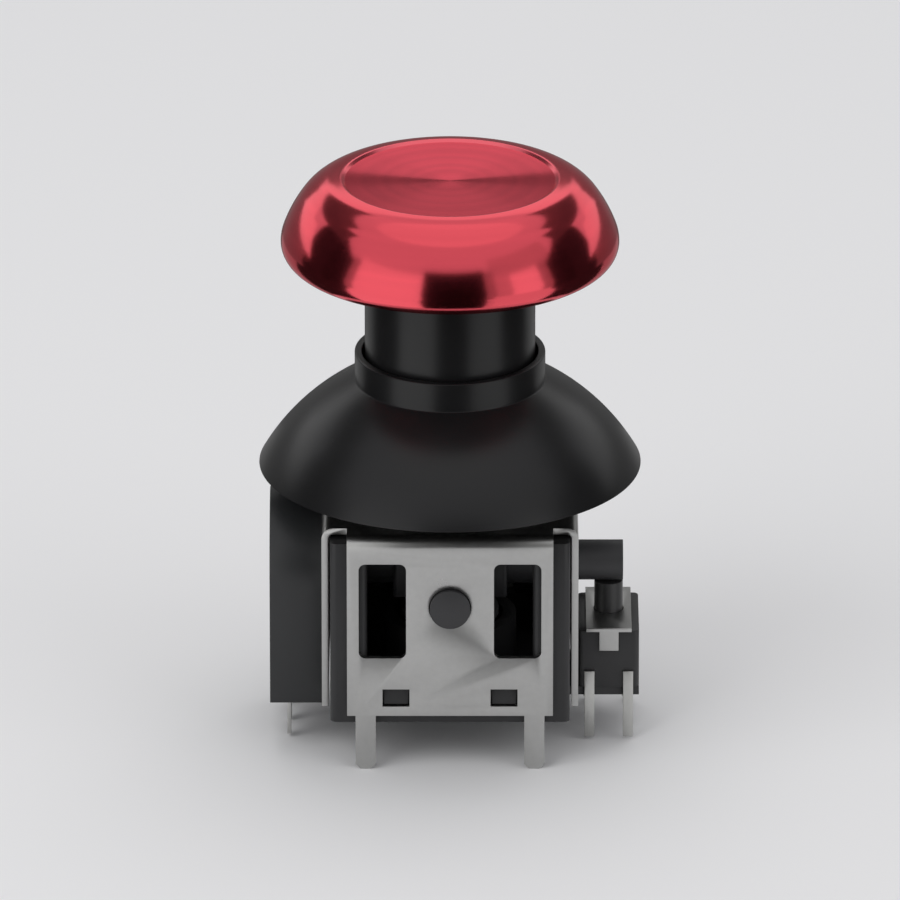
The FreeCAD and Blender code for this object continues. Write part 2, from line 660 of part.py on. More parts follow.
def shield_frame():
    """Folded sheet cage with open corners, a round opening, journal holes and solder legs."""
    outer = block(
        (-SHIELD_HALF, -SHIELD_HALF, SHIELD_BOTTOM), (SHIELD_HALF, SHIELD_HALF, SHIELD_TOP_Z)
    )
    inner = block(
        (-SHIELD_INNER, -SHIELD_INNER, -SHEET), (SHIELD_INNER, SHIELD_INNER, SHIELD_ROOF_Z)
    )
    shell = rounded_top(outer, FOLD_ROUND).cut(rounded_top(inner, FOLD_ROUND - SHEET))
    legs = []
    for x in (-LEG_OFFSET, LEG_OFFSET):
        for y in (-SHIELD_HALF, SHIELD_INNER):
            legs.append(solder_leg(x, y))
    shell = joined([shell] + legs)
    notch = block(
        (SHIELD_HALF - CORNER_NOTCH, SHIELD_HALF - CORNER_NOTCH, -SHEET),
        (SHIELD_HALF + SHEET, SHIELD_HALF + SHEET, SHIELD_TOP_Z + SHEET),
    )
    cuts = [turn(notch, n * QUARTER_TURN) for n in range(4)]
    cuts.append(rod(SHIELD_OPENING, (0, 0, SHIELD_ROOF_Z - SHEET), (0, 0, SHIELD_TOP_Z + SHEET)))
    cuts += shield_windows()
    cuts += [turn(window, -QUARTER_TURN) for window in shield_windows()]
    hole = JOURNAL_RADIUS + RUN_GAP
    reach = SHIELD_HALF + SHEET
    cuts.append(rod(hole, (0, -reach, PIVOT_Z), (0, reach, PIVOT_Z)))
    for drop in (0, PRESS):
        cuts.append(rod(hole, (-reach, 0, PIVOT_Z - drop), (reach, 0, PIVOT_Z - drop)))
    cuts.append(block((-reach, -hole, PIVOT_Z - PRESS), (reach, hole, PIVOT_Z)))
    for x in (-SNAP_OFFSET, SNAP_OFFSET):
        cuts.append(
            block(
                (x - SNAP_WIDTH / 2 - ASSEMBLY_GAP, -reach, SNAP_Z - ASSEMBLY_GAP),
                (x + SNAP_WIDTH / 2 + ASSEMBLY_GAP, reach, SNAP_Z + SNAP_HEIGHT + ASSEMBLY_GAP),
            )
        )
    for peg in pot_pegs(POT_PEG_RADIUS + RUN_GAP, SHEET):
        cuts.append(turn(peg, 2 * QUARTER_TURN))
        cuts.append(turn(peg, QUARTER_TURN))
    return shell.cut(cuts)


def rounded_top(box, radius):
    """A box with the four edges of its top face rounded."""
    top_z = box.BoundBox.ZMax
    edges = [e for e in box.Edges if e.BoundBox.ZMin > top_z - SHEET / 2]
    return box.makeFillet(radius, edges)


def solder_leg(x, y):
    """A tapered leg of the shield's sheet that passes through the circuit board."""
    half = LEG_WIDTH / 2
    corners = [
        Vec(x - half, y, SHIELD_BOTTOM),
        Vec(x - half, y, LEG_TAPER - LEG_LENGTH),
        Vec(x - half + LEG_TAPER, y, -LEG_LENGTH),
        Vec(x + half - LEG_TAPER, y, -LEG_LENGTH),
        Vec(x + half, y, LEG_TAPER - LEG_LENGTH),
        Vec(x + half, y, SHIELD_BOTTOM),
    ]
    outline = Part.makePolygon(corners + corners[:1])
    return Part.Face(outline).extrude(Vec(0, SHEET, 0))


def arched_slab(half_width, bottom_z, start, end):
    """An arch-topped plate about the pivot, facing +X between two distances."""
    low_left = Vec(start, -half_width, bottom_z)
    low_right = Vec(start, half_width, bottom_z)
    right = Vec(start, half_width, PIVOT_Z)
    top = Vec(start, 0, PIVOT_Z + half_width)
    left = Vec(start, -half_width, PIVOT_Z)
    edges = [
        Part.LineSegment(low_left, low_right).toShape(),
        Part.LineSegment(low_right, right).toShape(),
        Part.Arc(right, top, left).toShape(),
        Part.LineSegment(left, low_left).toShape(),
    ]
    return Part.Face(Part.Wire(edges)).extrude(Vec(end - start, 0, 0))


def pot_pegs(radius, stand):
    """The two pegs that hold a potentiometer in the wall of the shield."""
    side = POT_HALF_WIDTH - POT_WALL / 2
    return [
        rod(radius, (SHIELD_HALF - stand, y, POT_PEG_Z), (SHIELD_HALF + POT_WALL, y, POT_PEG_Z))
        for y in (-side, side)
    ]


def pin_slots(gap, top_z, bottom_z):
    """Three flat contacts on the board's face, or with a gap, the slots they pass through."""
    board_x = SHIELD_HALF + POT_DEPTH - POT_BACK - BOARD_THICKNESS
    half = PIN_WIDTH / 2 + gap
    return [
        block((board_x - PIN_SHEET - gap, y - half, bottom_z), (board_x + gap, y + half, top_z))
        for y in (-PIN_PITCH, 0, PIN_PITCH)
    ]


def pot_case():
    """Moulded cup on the shield's wall, with a centre pin for the rotor."""
    back_x = SHIELD_HALF + POT_DEPTH - POT_BACK
    floor_z = POT_BOTTOM + POT_WALL
    shell = arched_slab(POT_HALF_WIDTH, POT_BOTTOM, SHIELD_HALF, SHIELD_HALF + POT_DEPTH)
    space = arched_slab(POT_HALF_WIDTH - POT_WALL, floor_z, SHIELD_HALF, back_x)
    pin_x = SHIELD_HALF + ROTOR_START + ROTOR_THICKNESS - pot_pin_depth() + TOUCH_GAP
    pin = rod(POT_PIN_RADIUS, (pin_x, 0, PIVOT_Z), (back_x + TOUCH_GAP, 0, PIVOT_Z))
    cuts = [space] + pin_slots(TOUCH_GAP, floor_z, POT_BOTTOM)
    return joined([shell.cut(cuts), pin] + pot_pegs(POT_PEG_RADIUS, SHEET))


def pot_pin_depth():
    """Depth of the hole in the rotor's back that turns on the case's pin."""
    return ROTOR_THICKNESS - (TONGUE_REACH + TOUCH_GAP - ROTOR_START) - ROTOR_WEB


def pot_board():
    """Resistor board against the back of the case."""
    back_x = SHIELD_HALF + POT_DEPTH - POT_BACK
    half_width = POT_HALF_WIDTH - POT_WALL - ASSEMBLY_GAP
    bottom_z = POT_BOTTOM + POT_WALL + ASSEMBLY_GAP
    plate = arched_slab(half_width, bottom_z, back_x - BOARD_THICKNESS, back_x)
    hole = rod(POT_PIN_RADIUS + ASSEMBLY_GAP, (0, 0, PIVOT_Z), (back_x, 0, PIVOT_Z))
    return plate.cut(hole)


def pot_rotor():
    """Disc turned by the rocker's tongue, on the case's pin."""
    start = SHIELD_HALF + ROTOR_START
    end = start + ROTOR_THICKNESS
    disc = rod(ROTOR_RADIUS, (start, 0, PIVOT_Z), (end, 0, PIVOT_Z))
    half_width = TONGUE_THICKNESS / 2 + TONGUE_GAP
    half_height = TONGUE_HEIGHT / 2 + PRESS + TONGUE_GAP
    slot = block(
        (start, -half_width, PIVOT_Z - half_height),
        (SHIELD_HALF + TONGUE_REACH + TOUCH_GAP, half_width, PIVOT_Z + half_height),
    )
    hole = rod(POT_PIN_RADIUS + RUN_GAP, (end - pot_pin_depth(), 0, PIVOT_Z), (end, 0, PIVOT_Z))
    return disc.cut([slot, hole])


def pot_wiper():
    """Sprung contact on the rotor: a ring with two arms and a dimple on each."""
    start = SHIELD_HALF + ROTOR_START + ROTOR_THICKNESS
    end = start + WIPER_SHEET
    board_x = SHIELD_HALF + POT_DEPTH - POT_BACK - BOARD_THICKNESS
    ring = rod(WIPER_RING, (start, 0, PIVOT_Z), (end, 0, PIVOT_Z))
    arms = rounded_block(
        (start, -WIPER_ARM_WIDTH / 2, PIVOT_Z - WIPER_REACH),
        (end, WIPER_ARM_WIDTH / 2, PIVOT_Z + WIPER_REACH),
        X_AXIS,
        WIPER_ARM_WIDTH / 3,
    )
    pieces = [ring, arms]
    for side in (-1, 1):
        z = PIVOT_Z + side * (WIPER_REACH - WIPER_ARM_WIDTH / 2)
        pieces.append(rod(WIPER_DIMPLE_RADIUS, (start, 0, z), (board_x - TOUCH_GAP, 0, z)))
    hole = rod(POT_PIN_RADIUS + ASSEMBLY_GAP, (start, 0, PIVOT_Z), (end, 0, PIVOT_Z))
    return joined(pieces).cut(hole)


def pot_terminals():
    """Three pins that leave the board through the case's floor."""
    return Part.makeCompound(pin_slots(0, POT_BOTTOM + POT_WALL + PIN_LAP, -PIN_LENGTH))


def switch_case():
    """Moulded body of the push switch, with a round well for the snap dome."""
    x, y = SWITCH_SIZE_X / 2, SWITCH_SIZE_Y / 2
    body = rounded_block(
        (SWITCH_X - x, -y, SHELF),
        (SWITCH_X + x, y, SWITCH_TOP_Z - SWITCH_COVER),
        Z_AXIS,
        SWITCH_ROUND,
    )
    well = rod(x - SWITCH_WALL, (SWITCH_X, 0, SNAP_DOME_Z), (SWITCH_X, 0, SWITCH_TOP_Z))
    return body.cut(well)


def switch_cover():
    """Stamped plate over the switch, with an ear folded down at each end."""
    x, y = SWITCH_SIZE_X / 2 - SWITCH_WALL, SWITCH_SIZE_Y / 2
    plate = block(
        (SWITCH_X - x, -y - SWITCH_COVER, SWITCH_TOP_Z - SWITCH_COVER),
        (SWITCH_X + x, y + SWITCH_COVER, SWITCH_TOP_Z),
    )
    pieces = [plate]
    for low, high in ((-y - SWITCH_COVER, -y), (y, y + SWITCH_COVER)):
        pieces.append(
            block(
                (SWITCH_X - SWITCH_PIN_OFFSET / 2, low, SWITCH_TOP_Z - SWITCH_COVER - COVER_EAR),
                (SWITCH_X + SWITCH_PIN_OFFSET / 2, high, SWITCH_TOP_Z),
            )
        )
    hole = rod(
        PLUNGER_RADIUS + RUN_GAP, (SWITCH_X, 0, SHELF), (SWITCH_X, 0, SWITCH_TOP_Z + SWITCH_COVER)
    )
    return joined(pieces).cut(hole)


def switch_plunger():
    """Button under the bar's journal: a flange held by the cover, and a nib on the dome."""
    flange_top = SWITCH_TOP_Z - SWITCH_COVER - TOUCH_GAP
    flange_z = flange_top - PLUNGER_FLANGE_HEIGHT
    nib_z = SNAP_DOME_Z + SNAP_DOME_RISE + TOUCH_GAP
    button = Outline(0, PLUNGER_TOP_Z)
    button.line(PLUNGER_RADIUS, PLUNGER_TOP_Z)
    button.line(PLUNGER_RADIUS, flange_top)
    button.line(PLUNGER_FLANGE, flange_top)
    button.line(PLUNGER_FLANGE, flange_z)
    button.line(PLUNGER_NIB_RADIUS, flange_z)
    button.line(PLUNGER_NIB_RADIUS, nib_z)
    button.line(0, nib_z)
    return button.turned().translated(Vec(SWITCH_X, 0, 0))


def snap_dome():
    """Thin dished disc that clicks under the plunger."""
    rise = SNAP_DOME_RISE - SNAP_DOME_SHEET
    sphere = (SNAP_DOME_RADIUS**2 + rise**2) / (2 * rise)
    outer = Part.makeSphere(sphere, Vec(0, 0, SNAP_DOME_Z + SNAP_DOME_RISE - sphere))
    inner = Part.makeSphere(sphere, Vec(0, 0, SNAP_DOME_Z + rise - sphere))
    disc = rod(SNAP_DOME_RADIUS, (0, 0, SNAP_DOME_Z), (0, 0, SNAP_DOME_Z + SNAP_DOME_RISE))
    return outer.cut(inner).common(disc).translated(Vec(SWITCH_X, 0, 0))


def switch_terminals():
    """Four pins down the ends of the switch."""
    pins = []
    for x in (SWITCH_X - SWITCH_PIN_OFFSET, SWITCH_X + SWITCH_PIN_OFFSET):
        for y in (-SWITCH_SIZE_Y / 2 - SWITCH_PIN_SHEET, SWITCH_SIZE_Y / 2):
            pins.append(
                block(
                    (x - PIN_WIDTH / 2, y, -PIN_LENGTH),
                    (x + PIN_WIDTH / 2, y + SWITCH_PIN_SHEET, SHELF + SWITCH_FLOOR),
                )
            )
    return Part.makeCompound(pins)


def potentiometer(prefix, degrees):
    """The five pieces of one potentiometer, turned from +X to its side of the shield."""
    makers = {
        "case": pot_case,
        "board": pot_board,
        "rotor": pot_rotor,
        "wiper": pot_wiper,
        "terminals": pot_terminals,
    }
    return {f"{prefix}_pot_{name}": turn(make(), degrees) for name, make in makers.items()}


def all_pieces():
    """Every piece of the stick, by name."""
    pieces = {
        "thumb_cap": thumb_cap(),
        "stem_sleeve": stem_sleeve(),
        "head_magnet": magnet(HEAD_MAGNET_Z),
        "ball_base": ball_base(),
        "base_magnet": magnet(POST_TOP_Z - MAGNET_HEIGHT),
        "lever": lever(),
        "bar_rocker": bar_rocker(),
        "arch_rocker": arch_rocker(),
        "spring_cup": spring_cup(),
        "return_spring": return_spring(),
        "lower_housing": lower_housing(),
        "shield_frame": shield_frame(),
        "switch_case": switch_case(),
        "switch_cover": switch_cover(),
        "switch_plunger": switch_plunger(),
        "snap_dome": snap_dome(),
        "switch_terminals": switch_terminals(),
    }
    pieces.update(potentiometer("side", 2 * QUARTER_TURN))
    pieces.update(potentiometer("rear", QUARTER_TURN))
    return pieces


def main():
    """Writes one STEP file for each piece."""
    os.makedirs("parts", exist_ok=True)
    for name, shape in all_pieces().items():
        shape.exportStep(f"parts/{name}.step")
        print(f"{name}: {len(shape.Solids)} solids, {shape.Volume:.2f} mm3, valid {shape.isValid()}")


main()
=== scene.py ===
"""Dresses the analog stick of a game controller.

The turned cap, the slotted stem and the ball are modelled here at full smoothness. The pieces of
the joystick module keep their built shape, and get softened edges and their own finishes. Lengths
are in metres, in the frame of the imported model.
"""

import json
import logging
import math
from dataclasses import dataclass, field
from enum import Enum
from typing import Callable, Sequence

import bpy
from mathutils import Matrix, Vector

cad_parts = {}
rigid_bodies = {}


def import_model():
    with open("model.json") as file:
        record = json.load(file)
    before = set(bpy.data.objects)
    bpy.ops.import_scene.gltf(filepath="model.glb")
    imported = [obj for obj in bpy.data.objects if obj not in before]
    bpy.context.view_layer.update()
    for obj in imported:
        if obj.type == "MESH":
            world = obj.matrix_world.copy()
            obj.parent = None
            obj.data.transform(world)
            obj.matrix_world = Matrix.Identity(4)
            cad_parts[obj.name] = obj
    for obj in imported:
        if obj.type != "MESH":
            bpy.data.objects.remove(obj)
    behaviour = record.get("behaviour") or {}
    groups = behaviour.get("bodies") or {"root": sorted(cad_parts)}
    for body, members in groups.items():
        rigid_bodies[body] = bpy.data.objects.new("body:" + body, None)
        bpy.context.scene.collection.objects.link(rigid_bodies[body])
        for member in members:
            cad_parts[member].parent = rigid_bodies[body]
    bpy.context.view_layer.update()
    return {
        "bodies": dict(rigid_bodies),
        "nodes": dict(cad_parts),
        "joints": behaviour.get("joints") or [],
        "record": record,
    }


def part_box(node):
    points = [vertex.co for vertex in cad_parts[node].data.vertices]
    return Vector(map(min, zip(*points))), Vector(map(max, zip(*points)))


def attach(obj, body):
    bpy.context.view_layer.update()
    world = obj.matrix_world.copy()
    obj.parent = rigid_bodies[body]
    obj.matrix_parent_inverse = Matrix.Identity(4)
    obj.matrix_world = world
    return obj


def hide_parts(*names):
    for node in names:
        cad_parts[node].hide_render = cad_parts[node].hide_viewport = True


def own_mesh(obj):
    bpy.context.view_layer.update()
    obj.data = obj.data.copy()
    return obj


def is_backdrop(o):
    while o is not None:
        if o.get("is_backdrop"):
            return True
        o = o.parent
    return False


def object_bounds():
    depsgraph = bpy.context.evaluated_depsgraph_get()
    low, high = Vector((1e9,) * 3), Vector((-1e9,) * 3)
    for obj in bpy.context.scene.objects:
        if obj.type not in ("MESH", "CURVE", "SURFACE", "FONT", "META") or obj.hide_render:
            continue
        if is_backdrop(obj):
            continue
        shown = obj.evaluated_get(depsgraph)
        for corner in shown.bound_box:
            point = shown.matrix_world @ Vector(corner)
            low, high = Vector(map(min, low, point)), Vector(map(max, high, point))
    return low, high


LOG = logging.getLogger("analog_stick")
MM = 0.001
MERGE_DISTANCE = 0.001 * MM
SMOOTH_ANGLE = math.radians(32)
FLAT_ANGLE = math.radians(0.5)
EDGE_ANGLE = math.radians(40)
EDGE_SEGMENTS = 2
CARD_SPANS = 24
FULL_TURN = 2 * math.pi
Colour = tuple[float, float, float]
Section = list[tuple[float, float]]
BLACK: Colour = (0.0, 0.0, 0.0)


def deselect_all() -> None:
    """Leaves edit mode and deselects every object."""
    if bpy.context.object and bpy.context.object.mode != "OBJECT":
        bpy.ops.object.mode_set(mode="OBJECT")
    bpy.ops.object.select_all(action="DESELECT")


def make_active(piece: bpy.types.Object) -> None:
    """Selects one object alone and makes it active.

    Args:
        piece: The object that the next operators act on.
    """
    deselect_all()
    piece.select_set(True)
    bpy.context.view_layer.objects.active = piece


def name_piece(name: str) -> bpy.types.Object:
    """Names the active object and its mesh, and puts its origin at the frame's.

    Args:
        name: The name of the piece.

    Returns:
        The active object.
    """
    piece = bpy.context.object
    piece.name = name
    piece.data.name = name
    bpy.ops.object.transform_apply(location=True, rotation=True, scale=True)
    return piece


def apply_modifier(piece: bpy.types.Object, kind: str, **settings: object) -> None:
    """Adds a modifier to a piece and applies it.

    Args:
        piece: The piece to change.
        kind: Blender's name for the modifier type.
        **settings: Values of the modifier.
    """
    make_active(piece)
    bpy.ops.object.modifier_add(type=kind)
    modifier = piece.modifiers[-1]
    for key, value in settings.items():
        setattr(modifier, key, value)
    bpy.ops.object.modifier_apply(modifier=modifier.name)


def carve(piece: bpy.types.Object, tool: bpy.types.Object) -> None:
    """Cuts a tool out of a piece, and deletes the tool.

    Args:
        piece: The piece to change.
        tool: The closed mesh to cut with.
    """
    apply_modifier(piece, "BOOLEAN", operation="DIFFERENCE", object=tool, solver="EXACT")
    bpy.data.objects.remove(tool, do_unlink=True)


def smooth_faces(piece: bpy.types.Object) -> None:
    """Shades a piece smooth, and keeps its sharper edges.

    Args:
        piece: The piece to shade.
    """
    make_active(piece)
    bpy.ops.object.shade_smooth_by_angle(angle=SMOOTH_ANGLE)


class Pick(Enum):
    """What is selected by its place."""

    VERTICES = "VERT"
    FACES = "FACE"


def edit_chosen(piece: bpy.types.Object, pick: Pick, chosen: Callable[[Vector], bool]) -> None:
    """Goes into edit mode with some of a piece's vertices or faces selected.

    Args:
        piece: The piece to edit.
        pick: What is selected.
        chosen: Tells whether a vertex's place, or a face's middle, is selected.
    """
    make_active(piece)
    bpy.ops.object.mode_set(mode="EDIT")
    bpy.ops.mesh.select_mode(type=pick.value)
    bpy.ops.mesh.select_all(action="DESELECT")
    bpy.ops.object.mode_set(mode="OBJECT")
    if pick is Pick.VERTICES:
        for vertex in piece.data.vertices:
            vertex.select = chosen(vertex.co)
    else:
        for face in piece.data.polygons:
            face.select = chosen(face.center)
    bpy.ops.object.mode_set(mode="EDIT")


def rounded(corners: Sequence[tuple[float, float, float]], steps: int = 5) -> Section:
    """Rounds the corners of a half section.

    Args:
        corners: Radius, height and rounding of each corner, from first to last.
        steps: Number of spans in each rounded corner.

    Returns:
        Radius and height of each point.
    """
    points: Section = []
    for index, (radius, height, rounding) in enumerate(corners):
        corner = Vector((radius, height))
        if rounding == 0 or index in (0, len(corners) - 1):
            points.append((radius, height))
            continue
        before = Vector(corners[index - 1][:2]) - corner
        after = Vector(corners[index + 1][:2]) - corner
        start = corner + before.normalized() * min(rounding, before.length / 2)
        end = corner + after.normalized() * min(rounding, after.length / 2)
        for step in range(steps + 1):
            t = step / steps
            point = start * (1 - t) ** 2 + corner * 2 * t * (1 - t) + end * t**2
            points.append((point.x, point.y))
    return points


def arc(centre: tuple[float, float], radius: float, start: float, end: float, steps: int) -> Section:
    """Points along an arc of a half section.

    Args:
        centre: Radius and height of the arc's centre.
        radius: The arc's own radius.
        start: Angle of its first point above the horizontal, in degrees.
        end: Angle of its last point.
        steps: Number of spans.

    Returns:
        Radius and height of each point.
    """
    points: Section = []
    for step in range(steps + 1):
        angle = math.radians(start + (end - start) * step / steps)
        points.append((centre[0] + radius * math.cos(angle), centre[1] + radius * math.sin(angle)))
    return points


@dataclass
class Lathe:
    """Turns half sections about the stick's axis, ring by ring."""

    segments: int = 192

    def turn(self, name: str, section: Section) -> bpy.types.Object:
        """Extrudes a ring of edges along a section, and closes both ends by a fan of faces.

        Args:
            name: The name of the piece.
            section: Radius and height of each ring.

        Returns:
            The turned piece.
        """
        deselect_all()
        radius, height = section[0]
        bpy.ops.mesh.primitive_circle_add(
            vertices=self.segments, radius=radius, location=(0, 0, height), fill_type="NOTHING"
        )
        piece = name_piece(name)
        bpy.ops.object.mode_set(mode="EDIT")
        bpy.ops.mesh.select_all(action="SELECT")
        self._close_ring()
        for next_radius, next_height in section[1:]:
            bpy.ops.mesh.extrude_edges_move(
                TRANSFORM_OT_translate={"value": (0, 0, next_height - height)}
            )
            factor = next_radius / radius
            bpy.ops.transform.resize(
                value=(factor, factor, 1), center_override=(0, 0, next_height)
            )
            radius, height = next_radius, next_height
        self._close_ring()
        bpy.ops.mesh.select_all(action="SELECT")
        bpy.ops.mesh.remove_doubles(threshold=MERGE_DISTANCE)
        bpy.ops.mesh.normals_make_consistent(inside=False)
        bpy.ops.object.mode_set(mode="OBJECT")
        return piece

    @staticmethod
    def _close_ring() -> None:
        """Closes the selected ring with a fan, and selects the ring's edges again."""
        bpy.ops.mesh.select_mode(type="EDGE")
        bpy.ops.mesh.edge_face_add()
        bpy.ops.mesh.poke()
        bpy.ops.mesh.region_to_loop()


class Wires:
    """Adds and links the nodes of one material or group."""

    def __init__(self, tree: bpy.types.NodeTree) -> None:
        """Starts on an empty tree.

        Args:
            tree: The node tree to fill.
        """
        self.tree = tree

    def add(self, kind: str, **settings: object) -> bpy.types.Node:
        """Adds a node and sets its own settings.

        Args:
            kind: The node's class name.
            **settings: Its settings, such as an operation.

        Returns:
            The new node.
        """
        node = self.tree.nodes.new(kind)
        for key, value in settings.items():
            setattr(node, key, value)
        return node

    def link(self, source: bpy.types.NodeSocket, target: bpy.types.NodeSocket) -> None:
        """Links two sockets."""
        self.tree.links.new(source, target)

    def math(self, operation: str, *values: object) -> bpy.types.NodeSocket:
        """Adds a Math node.

        Args:
            operation: The operation's name.
            *values: A number or a socket for each input.

        Returns:
            The result's socket.
        """
        node = self.add("ShaderNodeMath", operation=operation)
        for socket, value in zip(node.inputs, values):
            if isinstance(value, bpy.types.NodeSocket):
                self.link(value, socket)
            else:
                socket.default_value = value
        return node.outputs[0]

    def between(self, factor: bpy.types.NodeSocket, low: float, high: float) -> bpy.types.NodeSocket:
        """Maps a factor from 0 to 1 onto a range of numbers.

        Args:
            factor: The socket that gives the factor.
            low: The value at 0.
            high: The value at 1.

        Returns:
            The result's socket.
        """
        node = self.add("ShaderNodeMapRange", clamp=True)
        self.link(factor, node.inputs["Value"])
        node.inputs["To Min"].default_value = low
        node.inputs["To Max"].default_value = high
        return node.outputs["Result"]

    def blend(self, factor: bpy.types.NodeSocket, low: Colour, high: Colour) -> bpy.types.NodeSocket:
        """Mixes two colours by a factor.

        Args:
            factor: The socket that gives the factor.
            low: The colour at 0.
            high: The colour at 1.

        Returns:
            The colour's socket.
        """
        node = self.add("ShaderNodeMix", data_type="RGBA")
        self.link(factor, node.inputs["Factor"])
        node.inputs["A"].default_value = (*low, 1)
        node.inputs["B"].default_value = (*high, 1)
        return node.outputs["Result"]


@dataclass
class EffectGroups:
    """Shader node groups for the effects that several finishes share.

    The lines' noises each have the output that they feed, their scale and their detail.
    """

    line_noises: tuple[tuple[str, float, float], ...] = (("Height", 1.0, 2.0), ("Tone", 0.11, 1.0))
    grain_detail: float = 3.0
    grain_roughness: float = 0.6
    sheen_scale: float = 260.0
    sheen_detail: float = 2.0
    turning: bpy.types.NodeTree = field(init=False)
    grain: bpy.types.NodeTree = field(init=False)

    def __post_init__(self) -> None:
        """Builds each group once."""
        self.turning = self._turning_lines()
        self.grain = self._moulded_grain()

    @staticmethod
    def _new_group(name: str, inputs: Sequence[str], outputs: Sequence[str]) -> Wires:
        """Starts a group with number sockets.

        Args:
            name: The group's name.
            inputs: Names of its inputs.
            outputs: Names of its outputs.

        Returns:
            The wires of the new group.
        """
        tree = bpy.data.node_groups.new(name, "ShaderNodeTree")
        for socket in inputs:
            tree.interface.new_socket(name=socket, in_out="INPUT", socket_type="NodeSocketFloat")
        for socket in outputs:
            tree.interface.new_socket(name=socket, in_out="OUTPUT", socket_type="NodeSocketFloat")
        return Wires(tree)

    def _turning_lines(self) -> bpy.types.NodeTree:
        """Fine uneven rings, as a lathe tool leaves them, with a slow change of tone.

        Returns:
            The group: its input is the number of lines in a metre.
        """
        wires = self._new_group("turning_lines", ["Lines"], ["Height", "Tone", "Radius"])
        entry = wires.add("NodeGroupInput")
        leave = wires.add("NodeGroupOutput")
        place = wires.add("ShaderNodeTexCoord")
        parts = wires.add("ShaderNodeSeparateXYZ")
        wires.link(place.outputs["Object"], parts.inputs[0])
        across = wires.math("MULTIPLY", parts.outputs["X"], parts.outputs["X"])
        along = wires.math("MULTIPLY", parts.outputs["Y"], parts.outputs["Y"])
        radius = wires.math("SQRT", wires.math("ADD", across, along))
        path = wires.math("SUBTRACT", radius, parts.outputs["Z"])
        turns = wires.math("MULTIPLY", path, entry.outputs["Lines"])
        for output, scale, detail in self.line_noises:
            noise = wires.add("ShaderNodeTexNoise", noise_dimensions="1D")
            noise.inputs["Scale"].default_value = scale
            noise.inputs["Detail"].default_value = detail
            wires.link(turns, noise.inputs["W"])
            wires.link(noise.outputs["Fac"], leave.inputs[output])
        wires.link(radius, leave.inputs["Radius"])
        return wires.tree

    def _moulded_grain(self) -> bpy.types.NodeTree:
        """Spark-eroded grain of a moulding, with a slow change of sheen.

        Returns:
            The group: its input is the number of grains in a metre.
        """
        wires = self._new_group("moulded_grain", ["Grains"], ["Height", "Sheen"])
        entry = wires.add("NodeGroupInput")
        leave = wires.add("NodeGroupOutput")
        place = wires.add("ShaderNodeTexCoord")
        grain = wires.add("ShaderNodeTexNoise")
        grain.inputs["Detail"].default_value = self.grain_detail
        grain.inputs["Roughness"].default_value = self.grain_roughness
        wires.link(place.outputs["Object"], grain.inputs["Vector"])
        wires.link(entry.outputs["Grains"], grain.inputs["Scale"])
        sheen = wires.add("ShaderNodeTexNoise")
        sheen.inputs["Scale"].default_value = self.sheen_scale
        sheen.inputs["Detail"].default_value = self.sheen_detail
        wires.link(place.outputs["Object"], sheen.inputs["Vector"])
        wires.link(grain.outputs["Fac"], leave.inputs["Height"])
        wires.link(sheen.outputs["Fac"], leave.inputs["Sheen"])
        return wires.tree


@dataclass(frozen=True)
class Finish:
    """What every finish has: a name, a colour and its roughness."""

    name: str
    colour: Colour
    roughness: float

    def start(self) -> tuple[bpy.types.Material, Wires, bpy.types.Node]:
        """Makes the material and its shader.

        Returns:
            The material, its wires and its Principled shader.
        """
        material = bpy.data.materials.new(self.name)
        material.use_nodes = True
        shader = material.node_tree.nodes["Principled BSDF"]
        shader.inputs["Base Color"].default_value = (*self.colour, 1)
        shader.inputs["Roughness"].default_value = self.roughness
        return material, Wires(material.node_tree), shader

    @staticmethod
    def effect(wires: Wires, group: bpy.types.NodeTree, amount: float) -> bpy.types.Node:
        """Places a shared effect in the material.

        Args:
            wires: The material's wires.
            group: The effect's node group.
            amount: Its one input.

        Returns:
            The group's node.
        """
        node = wires.add("ShaderNodeGroup", node_tree=group)
        node.inputs[0].default_value = amount
        return node

    def vary(
        self,
        wires: Wires,
        shader: bpy.types.Node,
        rough: tuple[bpy.types.NodeSocket, float, float],
        tone: tuple[bpy.types.NodeSocket, float, float],
    ) -> None:
        """Makes the roughness and the colour uneven.

        Args:
            wires: The material's wires.
            shader: Its Principled shader.
            rough: The roughness's mask, and its shares of the finish's value at 0 and 1.
            tone: The same for the colour.
        """
        mask, low, high = rough
        most = min(self.roughness * high, 1.0)
        wires.link(wires.between(mask, self.roughness * low, most), shader.inputs["Roughness"])
        mask, low, high = tone
        dark = tuple(c * low for c in self.colour)
        light = tuple(min(c * high, 1.0) for c in self.colour)
        wires.link(wires.blend(mask, dark, light), shader.inputs["Base Color"])

    @staticmethod
    def relief(
        wires: Wires, shader: bpy.types.Node, height: bpy.types.NodeSocket, depth: float
    ) -> None:
        """Gives the shader a bump.

        Args:
            wires: The material's wires.
            shader: Its Principled shader.
            height: The socket of the height, from 0 to 1.
            depth: The height's full depth in metres.
        """
        bump = wires.add("ShaderNodeBump")
        bump.inputs["Strength"].default_value = 1.0
        bump.inputs["Distance"].default_value = depth
        wires.link(height, bump.inputs["Height"])
        wires.link(bump.outputs["Normal"], shader.inputs["Normal"])


